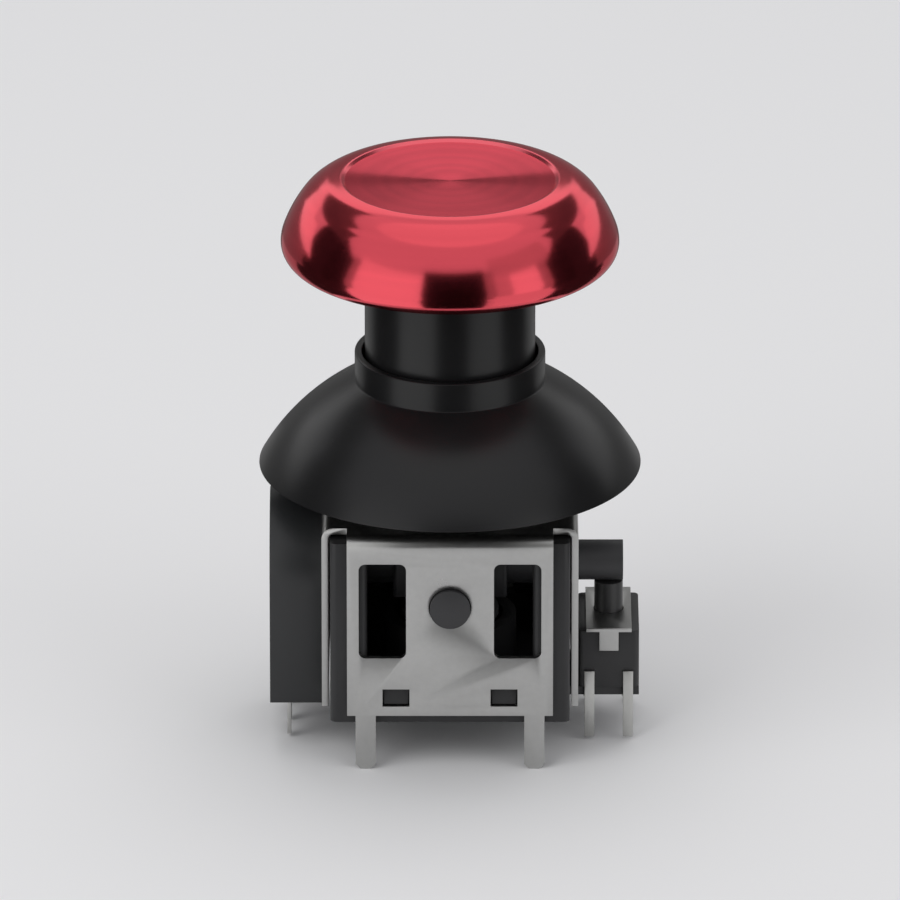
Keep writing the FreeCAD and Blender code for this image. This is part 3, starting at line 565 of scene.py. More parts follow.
@dataclass(frozen=True)
class TurnedMetal(Finish):
    """Turned and anodised aluminium, whose lines spread the light across them.

    The tool slope is the mean slope of a facing cut's fine ridges, towards the axis. The sheen
    and the mottle are the shares by which the roughness and the colour change over a piece.
    """

    spread: float = 0.6
    coat: float = 0.3
    coat_roughness: float = 0.12
    edge_tint: Colour = (1.0, 0.65, 0.68)
    lines: float = 9000.0
    depth: float = 0.0004 * MM
    sheen: tuple[float, float] = (0.85, 1.15)
    mottle: float = 0.10
    turned: float = 0.25
    tool_slope: float = 0.0

    def build(self, effects: EffectGroups) -> bpy.types.Material:
        """Makes the material.

        Args:
            effects: The shared node groups.

        Returns:
            The material.
        """
        material, wires, shader = self.start()
        shader.inputs["Metallic"].default_value = 1.0
        shader.inputs["Specular Tint"].default_value = (*self.edge_tint, 1)
        shader.inputs["Anisotropic"].default_value = self.spread
        shader.inputs["Anisotropic Rotation"].default_value = self.turned
        shader.inputs["Coat Weight"].default_value = self.coat
        shader.inputs["Coat Roughness"].default_value = self.coat_roughness
        tangent = wires.add("ShaderNodeTangent", direction_type="RADIAL", axis="Z")
        wires.link(tangent.outputs["Tangent"], shader.inputs["Tangent"])
        lines = self.effect(wires, effects.turning, self.lines)
        height = wires.math(
            "MULTIPLY_ADD",
            lines.outputs["Radius"],
            self.tool_slope / self.depth,
            lines.outputs["Height"],
        )
        self.relief(wires, shader, height, self.depth)
        rough = (lines.outputs["Height"], *self.sheen)
        tone = (lines.outputs["Tone"], 1 - self.mottle, 1 + self.mottle)
        self.vary(wires, shader, rough, tone)
        return material


@dataclass(frozen=True)
class Moulded(Finish):
    """Moulded plastic with a fine grain and a slightly uneven sheen."""

    grains: float = 9000.0
    depth: float = 0.004 * MM
    specular: float = 0.5
    sheen: tuple[float, float] = (0.8, 1.2)
    mottle: tuple[float, float] = (0.85, 1.15)

    def build(self, effects: EffectGroups) -> bpy.types.Material:
        """Makes the material.

        Args:
            effects: The shared node groups.

        Returns:
            The material.
        """
        material, wires, shader = self.start()
        shader.inputs["Specular IOR Level"].default_value = self.specular
        grain = self.effect(wires, effects.grain, self.grains)
        self.relief(wires, shader, grain.outputs["Height"], self.depth)
        mask = grain.outputs["Sheen"]
        self.vary(wires, shader, (mask, *self.sheen), (mask, *self.mottle))
        return material


@dataclass(frozen=True)
class Plated(Finish):
    """Plated or bare metal with a faint mottle and rolled grain."""

    grains: float = 2600.0
    depth: float = 0.0015 * MM
    sheen: tuple[float, float] = (0.75, 1.35)
    mottle: tuple[float, float] = (0.88, 1.0)

    def build(self, effects: EffectGroups) -> bpy.types.Material:
        """Makes the material.

        Args:
            effects: The shared node groups.

        Returns:
            The material.
        """
        material, wires, shader = self.start()
        shader.inputs["Metallic"].default_value = 1.0
        grain = self.effect(wires, effects.grain, self.grains)
        self.relief(wires, shader, grain.outputs["Height"], self.depth)
        rough = (grain.outputs["Sheen"], *self.sheen)
        tone = (grain.outputs["Height"], *self.mottle)
        self.vary(wires, shader, rough, tone)
        return material


FINISHES: tuple[Finish, ...] = (
    TurnedMetal(
        "spun_face",
        (0.73, 0.088, 0.120),
        0.23,
        spread=1.0,
        coat=0.0,
        lines=11000.0,
        tool_slope=0.07,
    ),
    TurnedMetal("turned_dome", (0.76, 0.078, 0.105), 0.15, spread=0.3, lines=7000.0),
    # The lip's lighter, whiter red is a painted highlight along the lip ring.
    TurnedMetal("lip_painted_highlight", (0.85, 0.130, 0.165), 0.22, spread=0.3),
    Moulded("stem_satin", (0.009, 0.009, 0.0095), 0.30, depth=0.0012 * MM, specular=0.35),
    Moulded("ball_satin", (0.009, 0.009, 0.0095), 0.30, depth=0.0015 * MM, specular=0.35),
    Moulded("lever_black", (0.022, 0.022, 0.023), 0.46),
    Moulded("rocker_black", (0.030, 0.030, 0.032), 0.48),
    Moulded("cup_grey", (0.055, 0.055, 0.055), 0.5),
    Moulded("tray_black", (0.018, 0.018, 0.019), 0.48),
    Moulded("pot_black", (0.020, 0.021, 0.022), 0.42),
    Moulded("switch_black", (0.020, 0.020, 0.021), 0.42),
    Moulded("button_black", (0.030, 0.030, 0.030), 0.38),
    Moulded("rotor_grey", (0.17, 0.165, 0.155), 0.5),
    Moulded("board_laminate", (0.16, 0.085, 0.035), 0.6),
    Plated("magnet_nickel", (0.60, 0.59, 0.56), 0.18),
    Plated("shield_tin", (0.52, 0.52, 0.51), 0.30),
    Plated("spring_bright", (0.50, 0.50, 0.50), 0.25),
    Plated("pin_tin", (0.60, 0.60, 0.58), 0.28),
    Plated("contact_brass", (0.62, 0.42, 0.16), 0.3),
)


@dataclass
class ThumbCap:
    """The turned cap: a sunken spun face, a fine lip, a domed edge and a hollow back."""

    edge_width: float = 3.55 * MM
    widest_depth: float = 3.95 * MM
    dome_rounds: tuple[float, ...] = (2.0 * MM, 8.0 * MM, 3.16 * MM)
    dome_angles: tuple[float, ...] = (20.0, 36.0, 85.0)
    rim_round: float = 1.2 * MM
    rim_width: float = 0.6 * MM
    face_depth: float = 0.14 * MM
    face_dish: float = 0.05 * MM
    face_rings: int = 24
    lip_width: float = 0.25 * MM
    skirt_wall: float = 1.4 * MM
    roof: float = 2.0 * MM
    hub_radius: float = 6.25 * MM
    hub_recess: float = 0.35 * MM
    bore_radius: float = 4.6 * MM
    bore_depth: float = 2.0 * MM
    soft: float = 0.06 * MM
    edge_steps: int = 16

    def build(self, materials: dict[str, bpy.types.Material]) -> bpy.types.Object:
        """Turns the cap and dresses its face, lip and dome.

        Args:
            materials: The finishes by name.

        Returns:
            The cap.
        """
        low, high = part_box("thumb_cap")
        radius, top, rim = high.x, high.z, low.z
        lip = radius - self.edge_width
        face = lip - self.lip_width
        floor = top - self.face_depth
        shares = [ring / self.face_rings for ring in range(1, self.face_rings)]
        section = [(face * s, floor - self.face_dish * (1 - s**2)) for s in shares]
        section += rounded(
            [
                (face, floor, self.soft),
                (lip - self.soft, top, self.soft),
                (lip + self.soft, top, 0),
            ]
        )
        section += self._edge(radius, top, rim)
        rim_radius = section[-1][0]
        hollow = radius - self.skirt_wall
        ceiling = top - self.roof
        shoulder = rim + self.hub_recess
        section += rounded(
            [
                (rim_radius - self.soft, rim, 0),
                (rim_radius - self.rim_width, rim, self.soft),
                (hollow, shoulder, self.soft),
                (hollow, ceiling, self.hub_recess),
                (self.hub_radius, ceiling, self.hub_recess),
                (self.hub_radius, shoulder, self.soft),
                (self.bore_radius, shoulder, 0),
                (self.bore_radius, shoulder + self.bore_depth, 0),
                (self.bore_radius / 2, shoulder + self.bore_depth, 0),
            ]
        )
        piece = Lathe().turn("turned_cap", section)
        # The third slot is the lip, whose lighter red is a painted highlight.
        for name in ("turned_dome", "spun_face", "lip_painted_highlight"):
            piece.data.materials.append(materials[name])
        deep = floor - self.face_dish - self.soft
        for facet in piece.data.polygons:
            reach, height = facet.center.xy.length, facet.center.z
            if height > deep and reach < face - self.soft:
                facet.material_index = 1
            elif height > floor and reach < lip + self.soft:
                facet.material_index = 2
        smooth_faces(piece)
        return piece

    def _edge(self, radius: float, top: float, rim: float) -> Section:
        """The domed edge: arcs that steepen from the lip to the widest line, and a tucked rim.

        Args:
            radius: The cap's radius.
            top: Height of its lip.
            rim: Height of its rim.

        Returns:
            Radius and height of each point.
        """
        widest = top - self.widest_depth
        bend = self.dome_rounds[0]
        across, up = radius - bend, widest
        angle = 0.0
        crown: Section = []
        for bend_radius, end in zip(self.dome_rounds, self.dome_angles):
            across += (bend - bend_radius) * math.cos(math.radians(angle))
            up += (bend - bend_radius) * math.sin(math.radians(angle))
            crown += arc((across, up), bend_radius, angle, end, self.edge_steps)[1:]
            bend, angle = bend_radius, end
        rim_centre = (radius - self.rim_round, widest)
        rim_angle = math.degrees(math.asin((rim - widest) / self.rim_round))
        return crown[::-1] + arc(rim_centre, self.rim_round, 0, rim_angle, self.edge_steps)


@dataclass
class StemSleeve:
    """The slotted tube under the cap, with its pocket for the magnet."""

    wall: float = 0.55 * MM
    spigot_step: float = 0.45 * MM
    spigot_height: float = 2.0 * MM
    slot_count: int = 6
    slot_width: float = 1.9 * MM
    slot_depth: float = 2.0 * MM
    slot_round: float = 0.25 * MM
    tooth_round: float = 0.45 * MM
    tooth_steps: int = 6
    soft: float = 0.05 * MM
    soft_steps: int = 3
    slot_segments: int = 4
    segments: int = 180
    cutter_reach: float = 1.2

    def build(self, materials: dict[str, bpy.types.Material]) -> bpy.types.Object:
        """Turns the tube and cuts its slots.

        Args:
            materials: The finishes by name.

        Returns:
            The sleeve.
        """
        low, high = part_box("stem_sleeve")
        magnet_low, magnet_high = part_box("head_magnet")
        pocket = magnet_high.x + self.soft
        spigot = high.x - self.spigot_step
        shoulder = high.z - self.spigot_height
        bore = high.x - self.wall
        section = rounded(
            [
                (spigot / 2, high.z, 0),
                (spigot, high.z, self.soft),
                (spigot, shoulder, 0),
                (high.x, shoulder, self.soft),
                (high.x, (shoulder + low.z) / 2, 0),
                (high.x, low.z, self.soft),
                (bore, low.z, self.soft),
                (bore, magnet_low.z, self.soft),
                (pocket, magnet_low.z, self.soft),
                (pocket, magnet_high.z, 0),
                (pocket / 2, magnet_high.z, 0),
            ],
            steps=self.soft_steps,
        )
        piece = Lathe(self.segments).turn("slotted_stem", section)
        for turn in range(self.slot_count // 2):
            cutter = self._slot_cutter(low.z, high.x, turn * FULL_TURN / self.slot_count)
            carve(piece, cutter)
        piece.data.materials.append(materials["stem_satin"])
        smooth_faces(piece)
        return piece

    def _slot_cutter(self, bottom: float, radius: float, angle: float) -> bpy.types.Object:
        """A bar across the tube, rounded at its top and flared at the teeth's corners.

        Args:
            bottom: Height of the sleeve's open end.
            radius: The sleeve's outer radius.
            angle: The bar's turn about the axis.

        Returns:
            The cutter.
        """
        reach = radius * self.cutter_reach
        half = self.slot_width / 2
        top = bottom + self.slot_depth
        flare = bottom + self.tooth_round
        deselect_all()
        bpy.ops.mesh.primitive_plane_add(size=1, location=(0, -reach, (top + flare) / 2))
        bpy.ops.transform.rotate(
            value=math.pi / 2, orient_axis="X", center_override=(0, -reach, (top + flare) / 2)
        )
        cutter = bpy.context.object
        cutter.scale = (self.slot_width, top - flare, 1)
        name_piece("slot_cutter")
        self._round_top(cutter, top)
        self._flare_bottom(cutter, half, bottom, flare)
        bpy.ops.mesh.select_all(action="SELECT")
        bpy.ops.mesh.extrude_region_move(TRANSFORM_OT_translate={"value": (0, 2 * reach, 0)})
        bpy.ops.mesh.select_all(action="SELECT")
        bpy.ops.mesh.normals_make_consistent(inside=False)
        bpy.ops.transform.rotate(value=angle, orient_axis="Z", center_override=(0, 0, 0))
        bpy.ops.object.mode_set(mode="OBJECT")
        return cutter

    def _round_top(self, cutter: bpy.types.Object, top: float) -> None:
        """Rounds the upper corners of the cutter's face, and stays in edit mode.

        Args:
            cutter: The flat face that becomes the cutter.
            top: Height of its upper edge.
        """
        edit_chosen(cutter, Pick.VERTICES, lambda place: place.z > top - MERGE_DISTANCE)
        bpy.ops.mesh.bevel(
            offset=self.slot_round, segments=self.slot_segments, affect="VERTICES"
        )

    def _flare_bottom(
        self, cutter: bpy.types.Object, half: float, bottom: float, flare: float
    ) -> None:
        """Extrudes the lower edge down along the teeth's rounded corners.

        Args:
            cutter: The flat face that becomes the cutter.
            half: Half the slot's width.
            bottom: Height of the sleeve's open end.
            flare: Height at which the teeth start to round.
        """
        edit_chosen(cutter, Pick.VERTICES, lambda place: place.z < flare + MERGE_DISTANCE)
        width, height = half, flare
        steps = self.tooth_steps
        for step in range(1, steps + 2):
            angle = math.pi / 2 * min(step / steps, 1)
            next_width = half + self.tooth_round * (1 - math.cos(angle))
            next_height = flare - self.tooth_round * math.sin(angle)
            if step > steps:
                next_height = bottom - self.tooth_round
            bpy.ops.mesh.extrude_edges_move(
                TRANSFORM_OT_translate={"value": (0, 0, next_height - height)}
            )
            bpy.ops.transform.resize(
                value=(next_width / width, 1, 1), center_override=(0, 0, next_height)
            )
            width, height = next_width, next_height


@dataclass
class BallBase:
    """The ball with its collar, the keyed groove for the sleeve and the post inside it.

    The blends are the angles in which its surface turns into the collar and the rim.
    """

    wall: float = 1.0 * MM
    collar_wall: float = 0.45 * MM
    collar_radius: float = 5.65 * MM
    collar_height: float = 1.75 * MM
    boss_radius: float = 5.9 * MM
    boss_chamfer: float = 0.6 * MM
    groove_floor: float = 0.7 * MM
    post_radius: float = 4.35 * MM
    foot_radius: float = 3.2 * MM
    foot_drop: float = 1.0 * MM
    plug_depth: float = 4.3 * MM
    key_count: int = 6
    key_width: float = 1.6 * MM
    key_height: float = 1.75 * MM
    shaft_radius: float = 2.05 * MM
    shaft_half_flat: float = 1.55 * MM
    shaft_room: float = 0.1 * MM
    magnet_room: float = 0.05 * MM
    collar_blend: float = 1.0
    rim_blend: float = 0.4
    soft: float = 0.12 * MM
    outer_steps: int = 40
    inner_steps: int = 32

    def build(self, materials: dict[str, bpy.types.Material], pivot: float) -> bpy.types.Object:
        """Turns the ball with the lever's socket, and raises its keys.

        Args:
            materials: The finishes by name.
            pivot: Height of the stick's pivot.

        Returns:
            The ball.
        """
        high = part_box("ball_base")[1]
        magnet_low, magnet_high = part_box("base_magnet")
        socket_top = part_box("lever")[1].z + self.shaft_room
        rim_radius = high.x
        rim = self._rim_height(pivot)
        outer = math.hypot(rim_radius, rim - pivot)
        inner = outer - self.wall
        collar_foot = pivot + math.sqrt(outer**2 - self.collar_radius**2)
        collar_top = collar_foot + self.collar_height
        bore = self.collar_radius - self.collar_wall
        groove = collar_top - self.plug_depth
        boss = groove - self.groove_floor
        foot = boss - self.foot_drop
        pocket = magnet_high.x + self.magnet_room
        rim_angle = math.degrees(math.asin((rim - pivot) / outer))
        inner_angle = math.degrees(math.asin((rim - pivot) / inner))
        collar_angle = math.degrees(math.acos(self.collar_radius / outer))
        boss_angle = math.degrees(math.acos(self.boss_radius / inner))
        section = rounded(
            [
                (pocket / 2, magnet_low.z, 0),
                (pocket, magnet_low.z, 0),
                (pocket, high.z, self.soft / 2),
                (self.post_radius, high.z, self.soft),
                (self.post_radius, groove, self.soft),
                (bore, groove, self.soft),
                (bore, collar_top, self.soft),
                (self.collar_radius, collar_top, self.soft),
                (self.collar_radius, collar_foot, self.soft),
                (self.collar_radius + self.soft, collar_foot - self.soft / 2, 0),
            ]
        )
        collar_angle -= self.collar_blend
        rim_angle += self.rim_blend
        inner_angle += self.rim_blend
        section += arc((0, pivot), outer, collar_angle, rim_angle, self.outer_steps)
        section += arc((0, pivot), inner, inner_angle, boss_angle, self.inner_steps)
        section += rounded(
            [
                (self.boss_radius, boss + self.boss_chamfer * 2, 0),
                (self.boss_radius, boss + self.boss_chamfer, self.soft),
                (self.boss_radius - self.boss_chamfer, boss, self.soft),
                (self.foot_radius, boss, self.soft),
                (self.foot_radius, foot, self.soft),
                (self.shaft_radius, foot, self.soft / 2),
                (self.shaft_radius, socket_top, 0),
            ]
        )
        piece = Lathe().turn("ball_shell", section)
        self._raise_keys(piece, groove)
        self._flatten_socket(piece, socket_top)
        piece.data.materials.append(materials["ball_satin"])
        smooth_faces(piece)
        return piece

    @staticmethod
    def _rim_height(pivot: float) -> float:
        """Height of the ball's lower rim, which is its widest ring.

        Args:
            pivot: Height of the stick's pivot.

        Returns:
            The rim's height.
        """
        mesh = bpy.data.objects["ball_base"].data
        widest = max(vertex.co.xy.length for vertex in mesh.vertices)
        ring = [v.co.z for v in mesh.vertices if v.co.xy.length > widest - MERGE_DISTANCE]
        return max(min(ring), pivot)

    def _raise_keys(self, piece: bpy.types.Object, groove: float) -> None:
        """Raises the keys, which the sleeve's slots pass over, from the groove's floor.

        Args:
            piece: The turned ball.
            groove: Height of the groove's floor.
        """
        edit_chosen(piece, Pick.FACES, lambda place: self._under_key(place, groove))
        bpy.ops.mesh.extrude_region_move(
            TRANSFORM_OT_translate={"value": (0, 0, self.key_height)}
        )
        bpy.ops.object.mode_set(mode="OBJECT")

    def _under_key(self, place: Vector, groove: float) -> bool:
        """Tells whether a key stands on a place.

        Args:
            place: The place.
            groove: Height of the groove's floor.

        Returns:
            True on the floor, within half a key's width of a key's middle.
        """
        turn = FULL_TURN / self.key_count
        angle = math.atan2(place.x, -place.y) % turn
        across = place.xy.length * math.sin(min(angle, turn - angle))
        return abs(place.z - groove) < MERGE_DISTANCE and across < self.key_width / 2

    def _flatten_socket(self, piece: bpy.types.Object, top: float) -> None:
        """Gives the socket the two flats of the lever's shaft.

        Args:
            piece: The turned ball.
            top: Height of the socket's end.
        """
        for vertex in piece.data.vertices:
            spread = vertex.co.xy.length - self.shaft_radius
            if spread < self.soft and vertex.co.z < top + MERGE_DISTANCE:
                flat = self.shaft_half_flat + max(spread, 0)
                vertex.co.y = max(-flat, min(flat, vertex.co.y))


@dataclass(frozen=True)
class Softened:
    """A built piece that keeps its shape, with merged faces and softened edges.

    A spring's press is how far it gives way when the stick is clicked; here the press only gives the
    spring a mesh of its own.
    """

    node: str
    name: str
    material: str
    slot: str
    edge: float
    press: float = 0.0

    def build(self, materials: dict[str, bpy.types.Material]) -> bpy.types.Object:
        """Copies the node's mesh, merges its triangles and softens its edges.

        Args:
            materials: The finishes by name.

        Returns:
            The piece.
        """
        source = bpy.data.objects[self.node]
        mesh = source.data.copy()
        mesh.materials.clear()
        piece = bpy.data.objects.new(self.name, mesh)
        bpy.context.scene.collection.objects.link(piece)
        make_active(piece)
        bpy.ops.object.mode_set(mode="EDIT")
        bpy.ops.mesh.select_all(action="SELECT")
        bpy.ops.mesh.remove_doubles(threshold=MERGE_DISTANCE)
        bpy.ops.mesh.dissolve_limited(angle_limit=FLAT_ANGLE)
        bpy.ops.object.mode_set(mode="OBJECT")
        if self.edge:
            apply_modifier(
                piece,
                "BEVEL",
                width=self.edge,
                segments=EDGE_SEGMENTS,
                limit_method="ANGLE",
                angle_limit=EDGE_ANGLE,
                use_clamp_overlap=True,
            )
        mesh.materials.append(materials[self.material])
        smooth_faces(piece)
        if self.press:
            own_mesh(piece)
        return piece


MODULE_PIECES: tuple[Softened, ...] = (
    Softened("shield_frame", "folded_shield", "shield_tin", "shield_steel", 0.05 * MM),
    Softened("lower_housing", "moulded_tray", "tray_black", "housing_plastic", 0.06 * MM),
    Softened("lever", "moulded_lever", "lever_black", "lever_plastic", 0.05 * MM),
    Softened("bar_rocker", "lower_rocker", "rocker_black", "rocker_plastic", 0.06 * MM),
    Softened("arch_rocker", "upper_rocker", "rocker_black", "rocker_plastic", 0.06 * MM),
    Softened("spring_cup", "lifting_cup", "cup_grey", "cup_plastic", 0.05 * MM),
    Softened("side_pot_case", "side_pot_shell", "pot_black", "pot_plastic", 0.12 * MM),
    Softened("rear_pot_case", "rear_pot_shell", "pot_black", "pot_plastic", 0.12 * MM),
    Softened("side_pot_rotor", "side_pot_wheel", "rotor_grey", "rotor_plastic", 0.04 * MM),
    Softened("rear_pot_rotor", "rear_pot_wheel", "rotor_grey", "rotor_plastic", 0.04 * MM),
    Softened("side_pot_terminals", "side_pot_pins", "pin_tin", "terminal_tin", 0.03 * MM),
    Softened("rear_pot_terminals", "rear_pot_pins", "pin_tin", "terminal_tin", 0.03 * MM),
    Softened("switch_case", "switch_shell", "switch_black", "switch_plastic", 0.06 * MM),
    Softened("switch_cover", "switch_plate", "shield_tin", "shield_steel", 0.03 * MM),
    Softened("switch_plunger", "switch_button", "button_black", "button_plastic", 0.06 * MM),
    Softened("switch_terminals", "switch_pins", "pin_tin", "terminal_tin", 0.03 * MM),
    Softened("head_magnet", "head_disc_magnet", "magnet_nickel", "magnet_nickel", 0.0),
    Softened("base_magnet", "base_disc_magnet", "magnet_nickel", "magnet_nickel", 0.0),
    Softened("return_spring", "centring_spring", "spring_bright", "spring_steel", 0.0, 0.40 * MM),
    Softened("snap_dome", "click_dome", "spring_bright", "spring_steel", 0.0, 0.36 * MM),
)
KEPT_NODES: dict[str, str] = {
    "side_pot_board": "board_laminate",
    "rear_pot_board": "board_laminate",
    "side_pot_wiper": "contact_brass",
    "rear_pot_wiper": "contact_brass",
}


class Stance(Enum):
    """How a reflection card is set up round the cap."""

    UPRIGHT = "UPRIGHT"
    LEVEL = "LEVEL"


def paper(name: str, colour: Colour, roughness: float, glow: float = 0.0) -> bpy.types.Material:
    """Plain matt paper for the studio.

    Args:
        name: The material's name.
        colour: Its colour.
        roughness: Its roughness.
        glow: The light that it gives.

    Returns:
        The material.
    """
    material, _, shader = Finish(name, colour, roughness).start()
    shader.inputs["Specular IOR Level"].default_value = 0.0
    shader.inputs["Emission Color"].default_value = (1, 1, 1, 1)
    shader.inputs["Emission Strength"].default_value = glow
    return material


def compass(azimuth: float) -> Vector:
    """Gives a level direction.

    Args:
        azimuth: The angle from the camera's side, to the object's right, in degrees.

    Returns:
        The direction.
    """
    return Vector((math.sin(math.radians(azimuth)), -math.cos(math.radians(azimuth)), 0))


@dataclass(frozen=True)
class SoftLamp:
    """A square soft lamp that lights the part, and leaves the reflections to the cards."""

    name: str
    azimuth: float
    elevation: float
    glow: float
    size: float = 0.30
    distance: float = 0.40

    def build(self, target: Vector) -> None:
        """Adds the lamp.

        Args:
            target: The point that it lights.
        """
        lamp = bpy.data.lights.new(self.name, "AREA")
        lamp.shape = "SQUARE"
        lamp.size = self.size
        lamp.energy = self.glow * math.pi * self.size**2
        piece = bpy.data.objects.new(self.name, lamp)
        piece.visible_glossy = False
        bpy.context.scene.collection.objects.link(piece)
        tilt = math.radians(self.elevation)
        away = compass(self.azimuth) * math.cos(tilt) + Vector((0, 0, math.sin(tilt)))
        piece.location = target + away * self.distance
        piece.rotation_mode = "QUATERNION"
        piece.rotation_quaternion = away.to_track_quat("Z", "Y")


@dataclass(frozen=True)
class Card:
    """A bent card that only reflections show, as is set round turned metal.

    The azimuth and the elevations are those in which the cap sees it, in degrees. An upright
    card stands at its distance from the cap, and a level one lies at its distance under it.
    The glow is 0 for black paper and 1 where it looks white.
    """

    name: str
    azimuth: float
    span: float
    low: float
    high: float
    glow: float
    distance: float = 0.085
    stance: Stance = Stance.UPRIGHT
    lean: float = 0.0
    slant: float = 0.0

    def build(self, target: Vector, gap: float) -> None:
        """Adds the card.

        Args:
            target: The point that it stands round.
            gap: How far it stands behind the first card.
        """
        deselect_all()
        bpy.ops.mesh.primitive_grid_add(x_subdivisions=CARD_SPANS, y_subdivisions=1, size=1)
        card = name_piece(self.name)
        for vertex in card.data.vertices:
            vertex.co = self._spot(vertex.co.x, vertex.co.y + 0.5, self.distance + gap)
        card.location = target
        card.data.materials.append(paper(self.name, BLACK, 1.0, self.glow))
        card.visible_camera = False
        card.visible_diffuse = False
        card.visible_shadow = False
        card.visible_transmission = False
        card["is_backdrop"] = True

    def _spot(self, along: float, up: float, distance: float) -> Vector:
        """Finds a point of the bent card.

        Args:
            along: The place along the card, from -0.5 to 0.5.
            up: The place up the card, from 0 to 1.
            distance: Its distance from the cap.

        Returns:
            The point, from the card's target.
        """
        high = self.high + self.slant * along
        slope = math.tan(math.radians(self.low + (high - self.low) * up))
        away = compass(self.azimuth + self.span * along + self.lean * (up - 0.5))
        if self.stance is Stance.LEVEL:
            return away * (-distance / slope) - Vector((0, 0, distance))
        return away * distance + Vector((0, 0, distance * slope))


def skirt(name: str, azimuth: float, span: float, glow: float) -> Card:
    """Gives a level card that the cap's rim and the stem reflect.

    Args:
        name: The card's name.
        azimuth: The direction of its middle, in degrees.
        span: The angle that it covers, in degrees.
        glow: Its brightness.

    Returns:
        The card.
    """
    return Card(
        name, azimuth, span, low=-50.0, high=-13.0, glow=glow, distance=0.015, stance=Stance.LEVEL
    )


@dataclass
class Studio:
    """Pale floor, soft light, cards and the camera at the photo's angle."""

    floor_size: float = 6.0
    floor_colour: Colour = (0.86, 0.86, 0.86)
    floor_roughness: float = 0.9
    surround: Colour = (0.97, 0.97, 1.0)
    surround_light: float = 0.50
    surround_seen: float = 0.80
    elevation: float = 22.0
    lens: float = 600.0
    sensor: float = 36.0
    fill: float = 0.76
    clip_ratio: float = 100.0
    lamps: tuple[SoftLamp, ...] = (
        SoftLamp("key_lamp", -50.0, 38.0, glow=1.6),
        SoftLamp("fill_lamp", 55.0, 25.0, glow=0.7),
        SoftLamp("top_lamp", 170.0, 70.0, glow=1.2, size=0.35),
    )
    card_gap: float = 0.0002
    cards: tuple[Card, ...] = (
        Card("left_strip", -147.0, 32.0, 17.0, 27.0, 1.10, lean=-14.0),
        Card("right_strip", 147.0, 32.0, 17.0, 27.0, 1.00, lean=14.0),
        Card("left_streak", -128.0, 36.0, 4.0, 17.0, 1.12, lean=-12.0),
        Card("right_streak", 128.0, 36.0, 4.0, 17.0, 1.02, lean=12.0),
        Card("left_arch_top", -129.0, 54.0, 39.0, 49.0, 0.12),
        Card("right_arch_top", 129.0, 54.0, 39.0, 49.0, 0.12),
        Card("left_arch_card", -121.0, 70.0, 27.0, 41.0, 0.10),
        Card("right_arch_card", 121.0, 70.0, 27.0, 41.0, 0.10),
        Card("left_card", -100.0, 22.0, -19.0, 34.0, 0.03),
        Card("right_card", 99.0, 22.0, -19.0, 32.0, 0.03),
        Card("left_side_card", -80.5, 20.0, -19.0, 28.5, 0.02, slant=-12.0),
        Card("right_side_card", 79.5, 21.0, -19.0, 27.0, 0.02, slant=12.0),
        Card("front_card", 2.5, 41.0, -19.0, 30.0, 0.01),
        Card("front_edge_card", 26.0, 7.0, -19.0, 29.0, 0.40),
        Card("left_outer_glow", -68.0, 7.0, -19.0, 25.0, 0.40),
        Card("left_glow", -41.5, 48.0, -19.0, 27.0, 1.10),
        Card("right_inner_glow", 34.5, 12.0, -19.0, 25.5, 0.66),
        Card("right_outer_glow", 66.0, 9.0, -19.0, 23.0, 0.42),
        Card("right_glow", 51.0, 24.0, -19.0, 23.0, 1.08),
        Card("right_upper_card", 52.0, 48.0, 22.0, 38.0, 0.60),
        Card("left_low_card", -128.0, 42.0, -19.0, 5.0, 0.22),
        Card("right_low_card", 128.0, 42.0, -19.0, 5.0, 0.20),
        Card("back_card", 180.0, 68.0, -19.0, 17.0, 0.22),
        Card("back_upper_card", 180.0, 34.0, 16.0, 25.0, 0.25),
        Card("back_glow", 180.0, 46.0, 25.0, 45.0, 1.12),
        Card("top_glow", 0.0, 360.0, 60.0, 89.9, 0.97, distance=-0.2, stance=Stance.LEVEL),
        skirt("front_skirt", 2.5, 41.0, 0.01),
        skirt("left_glow_skirt", -43.0, 48.0, 1.08),
        skirt("right_glow_skirt", 48.0, 40.0, 0.85),
        skirt("left_skirt", -94.0, 50.0, 0.03),
        skirt("right_skirt", 94.0, 48.0, 0.03),
        skirt("left_back_skirt", -136.0, 34.0, 0.38),
        skirt("right_back_skirt", 136.0, 34.0, 0.38),
        skirt("back_skirt", 180.0, 54.0, 0.15),
    )

    def build(self) -> None:
        """Sets up the floor, the world, the lamps, the cards and the camera."""
        low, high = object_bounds()
        cap_low, cap_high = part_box("thumb_cap")
        focus = (cap_low + cap_high) / 2
        self._floor(low.z)
        self._world()
        for lamp in self.lamps:
            lamp.build(focus)
        for order, card in enumerate(self.cards):
            card.build(focus, order * self.card_gap)
        self._camera(low, high)
        bpy.context.scene.view_settings.view_transform = "Standard"

    def _floor(self, height: float) -> None:
        """Adds the floor that the part stands on.

        Args:
            height: The floor's height.
        """
        deselect_all()
        bpy.ops.mesh.primitive_plane_add(size=self.floor_size, location=(0, 0, height))
        floor = name_piece("studio_floor")
        finish = paper("floor_pale", self.floor_colour, self.floor_roughness)
        floor.data.materials.append(finish)
        floor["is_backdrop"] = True

    def _world(self) -> None:
        """Gives the world a pale colour that lights the part less than it shows."""
        world = bpy.data.worlds.new("pale_surround")
        world.use_nodes = True
        wires = Wires(world.node_tree)
        background = world.node_tree.nodes["Background"]
        background.inputs["Color"].default_value = (*self.surround, 1)
        path = wires.add("ShaderNodeLightPath")
        seen = wires.math("MAXIMUM", path.outputs["Is Camera Ray"], path.outputs["Is Glossy Ray"])
        seen = wires.math("MAXIMUM", seen, path.outputs["Is Transmission Ray"])
        strength = wires.between(seen, self.surround_light, self.surround_seen)
        wires.link(strength, background.inputs["Strength"])
        bpy.context.scene.world = world

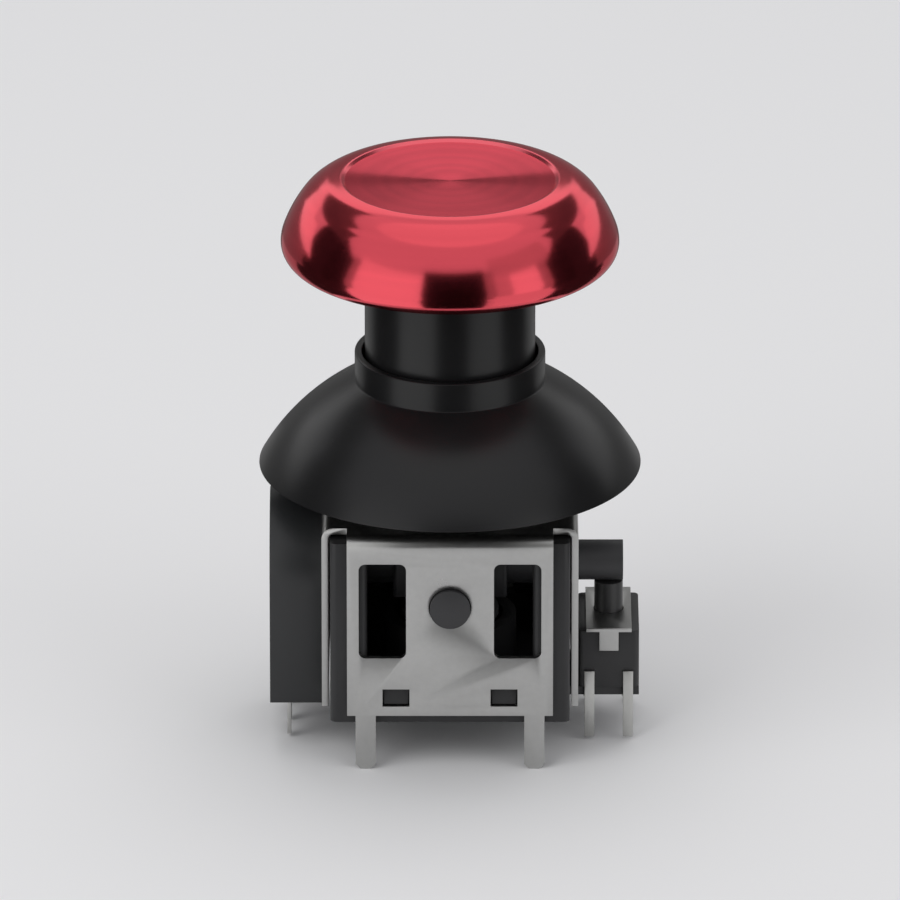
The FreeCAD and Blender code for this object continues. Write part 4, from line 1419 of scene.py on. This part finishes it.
    def _camera(self, low: Vector, high: Vector) -> None:
        """Adds the camera, looking down on the object from its front.

        Args:
            low: The object's lowest corner.
            high: The object's highest corner.
        """
        tilt = math.radians(self.elevation)
        half = ((high.z - low.z) * math.cos(tilt) + (high.y - low.y) * math.sin(tilt)) / 2
        distance = half / (self.sensor / 2 / self.lens * self.fill)
        away = Vector((0, -math.cos(tilt), math.sin(tilt)))
        data = bpy.data.cameras.new("photo_camera")
        data.lens = self.lens
        data.sensor_width = self.sensor
        data.clip_start = distance / self.clip_ratio
        data.clip_end = distance * self.clip_ratio
        camera = bpy.data.objects.new("photo_camera", data)
        bpy.context.scene.collection.objects.link(camera)
        camera.location = (low + high) / 2 + away * distance
        camera.rotation_mode = "QUATERNION"
        camera.rotation_quaternion = away.to_track_quat("Z", "Y")
        bpy.context.scene.camera = camera


@dataclass
class AnalogStick:
    """The whole part: its finishes, its modelled pieces and the module."""

    frame: dict
    materials: dict[str, bpy.types.Material] = field(default_factory=dict)

    def build(self) -> None:
        """Builds the finishes and dresses every piece."""
        effects = EffectGroups()
        self.materials = {finish.name: finish.build(effects) for finish in FINISHES}
        pivot = next(j for j in self.frame["joints"] if j["name"] == "tilt_side")["pos_m"][2]
        self._stand_for(ThumbCap().build(self.materials), "thumb_cap")
        self._stand_for(StemSleeve().build(self.materials), "stem_sleeve")
        self._stand_for(BallBase().build(self.materials, pivot), "ball_base")
        for softened in MODULE_PIECES:
            self._stand_for(softened.build(self.materials), softened.node)
        for node, material in KEPT_NODES.items():
            mesh = self.frame["nodes"][node].data
            mesh.materials.clear()
            mesh.materials.append(self.materials[material])
            LOG.info("kept %s with finish %s", node, material)

    def _stand_for(self, piece: bpy.types.Object, node: str) -> None:
        """Lets a piece stand for its node and ride on the node's body.

        Args:
            piece: The modelled piece.
            node: The node that it replaces.
        """
        groups = self.frame["record"]["behaviour"]["bodies"]
        body = next(name for name, nodes in groups.items() if node in nodes)
        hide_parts(node)
        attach(piece, body)
        LOG.info("%s: %d faces, rides on %s", piece.name, len(piece.data.polygons), body)


def main() -> None:
    """Builds the stick and its studio."""
    logging.basicConfig(level=logging.INFO, format="%(name)s: %(message)s")
    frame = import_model()
    AnalogStick(frame).build()
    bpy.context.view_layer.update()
    Studio().build()


if __name__ == "__main__":
    main()
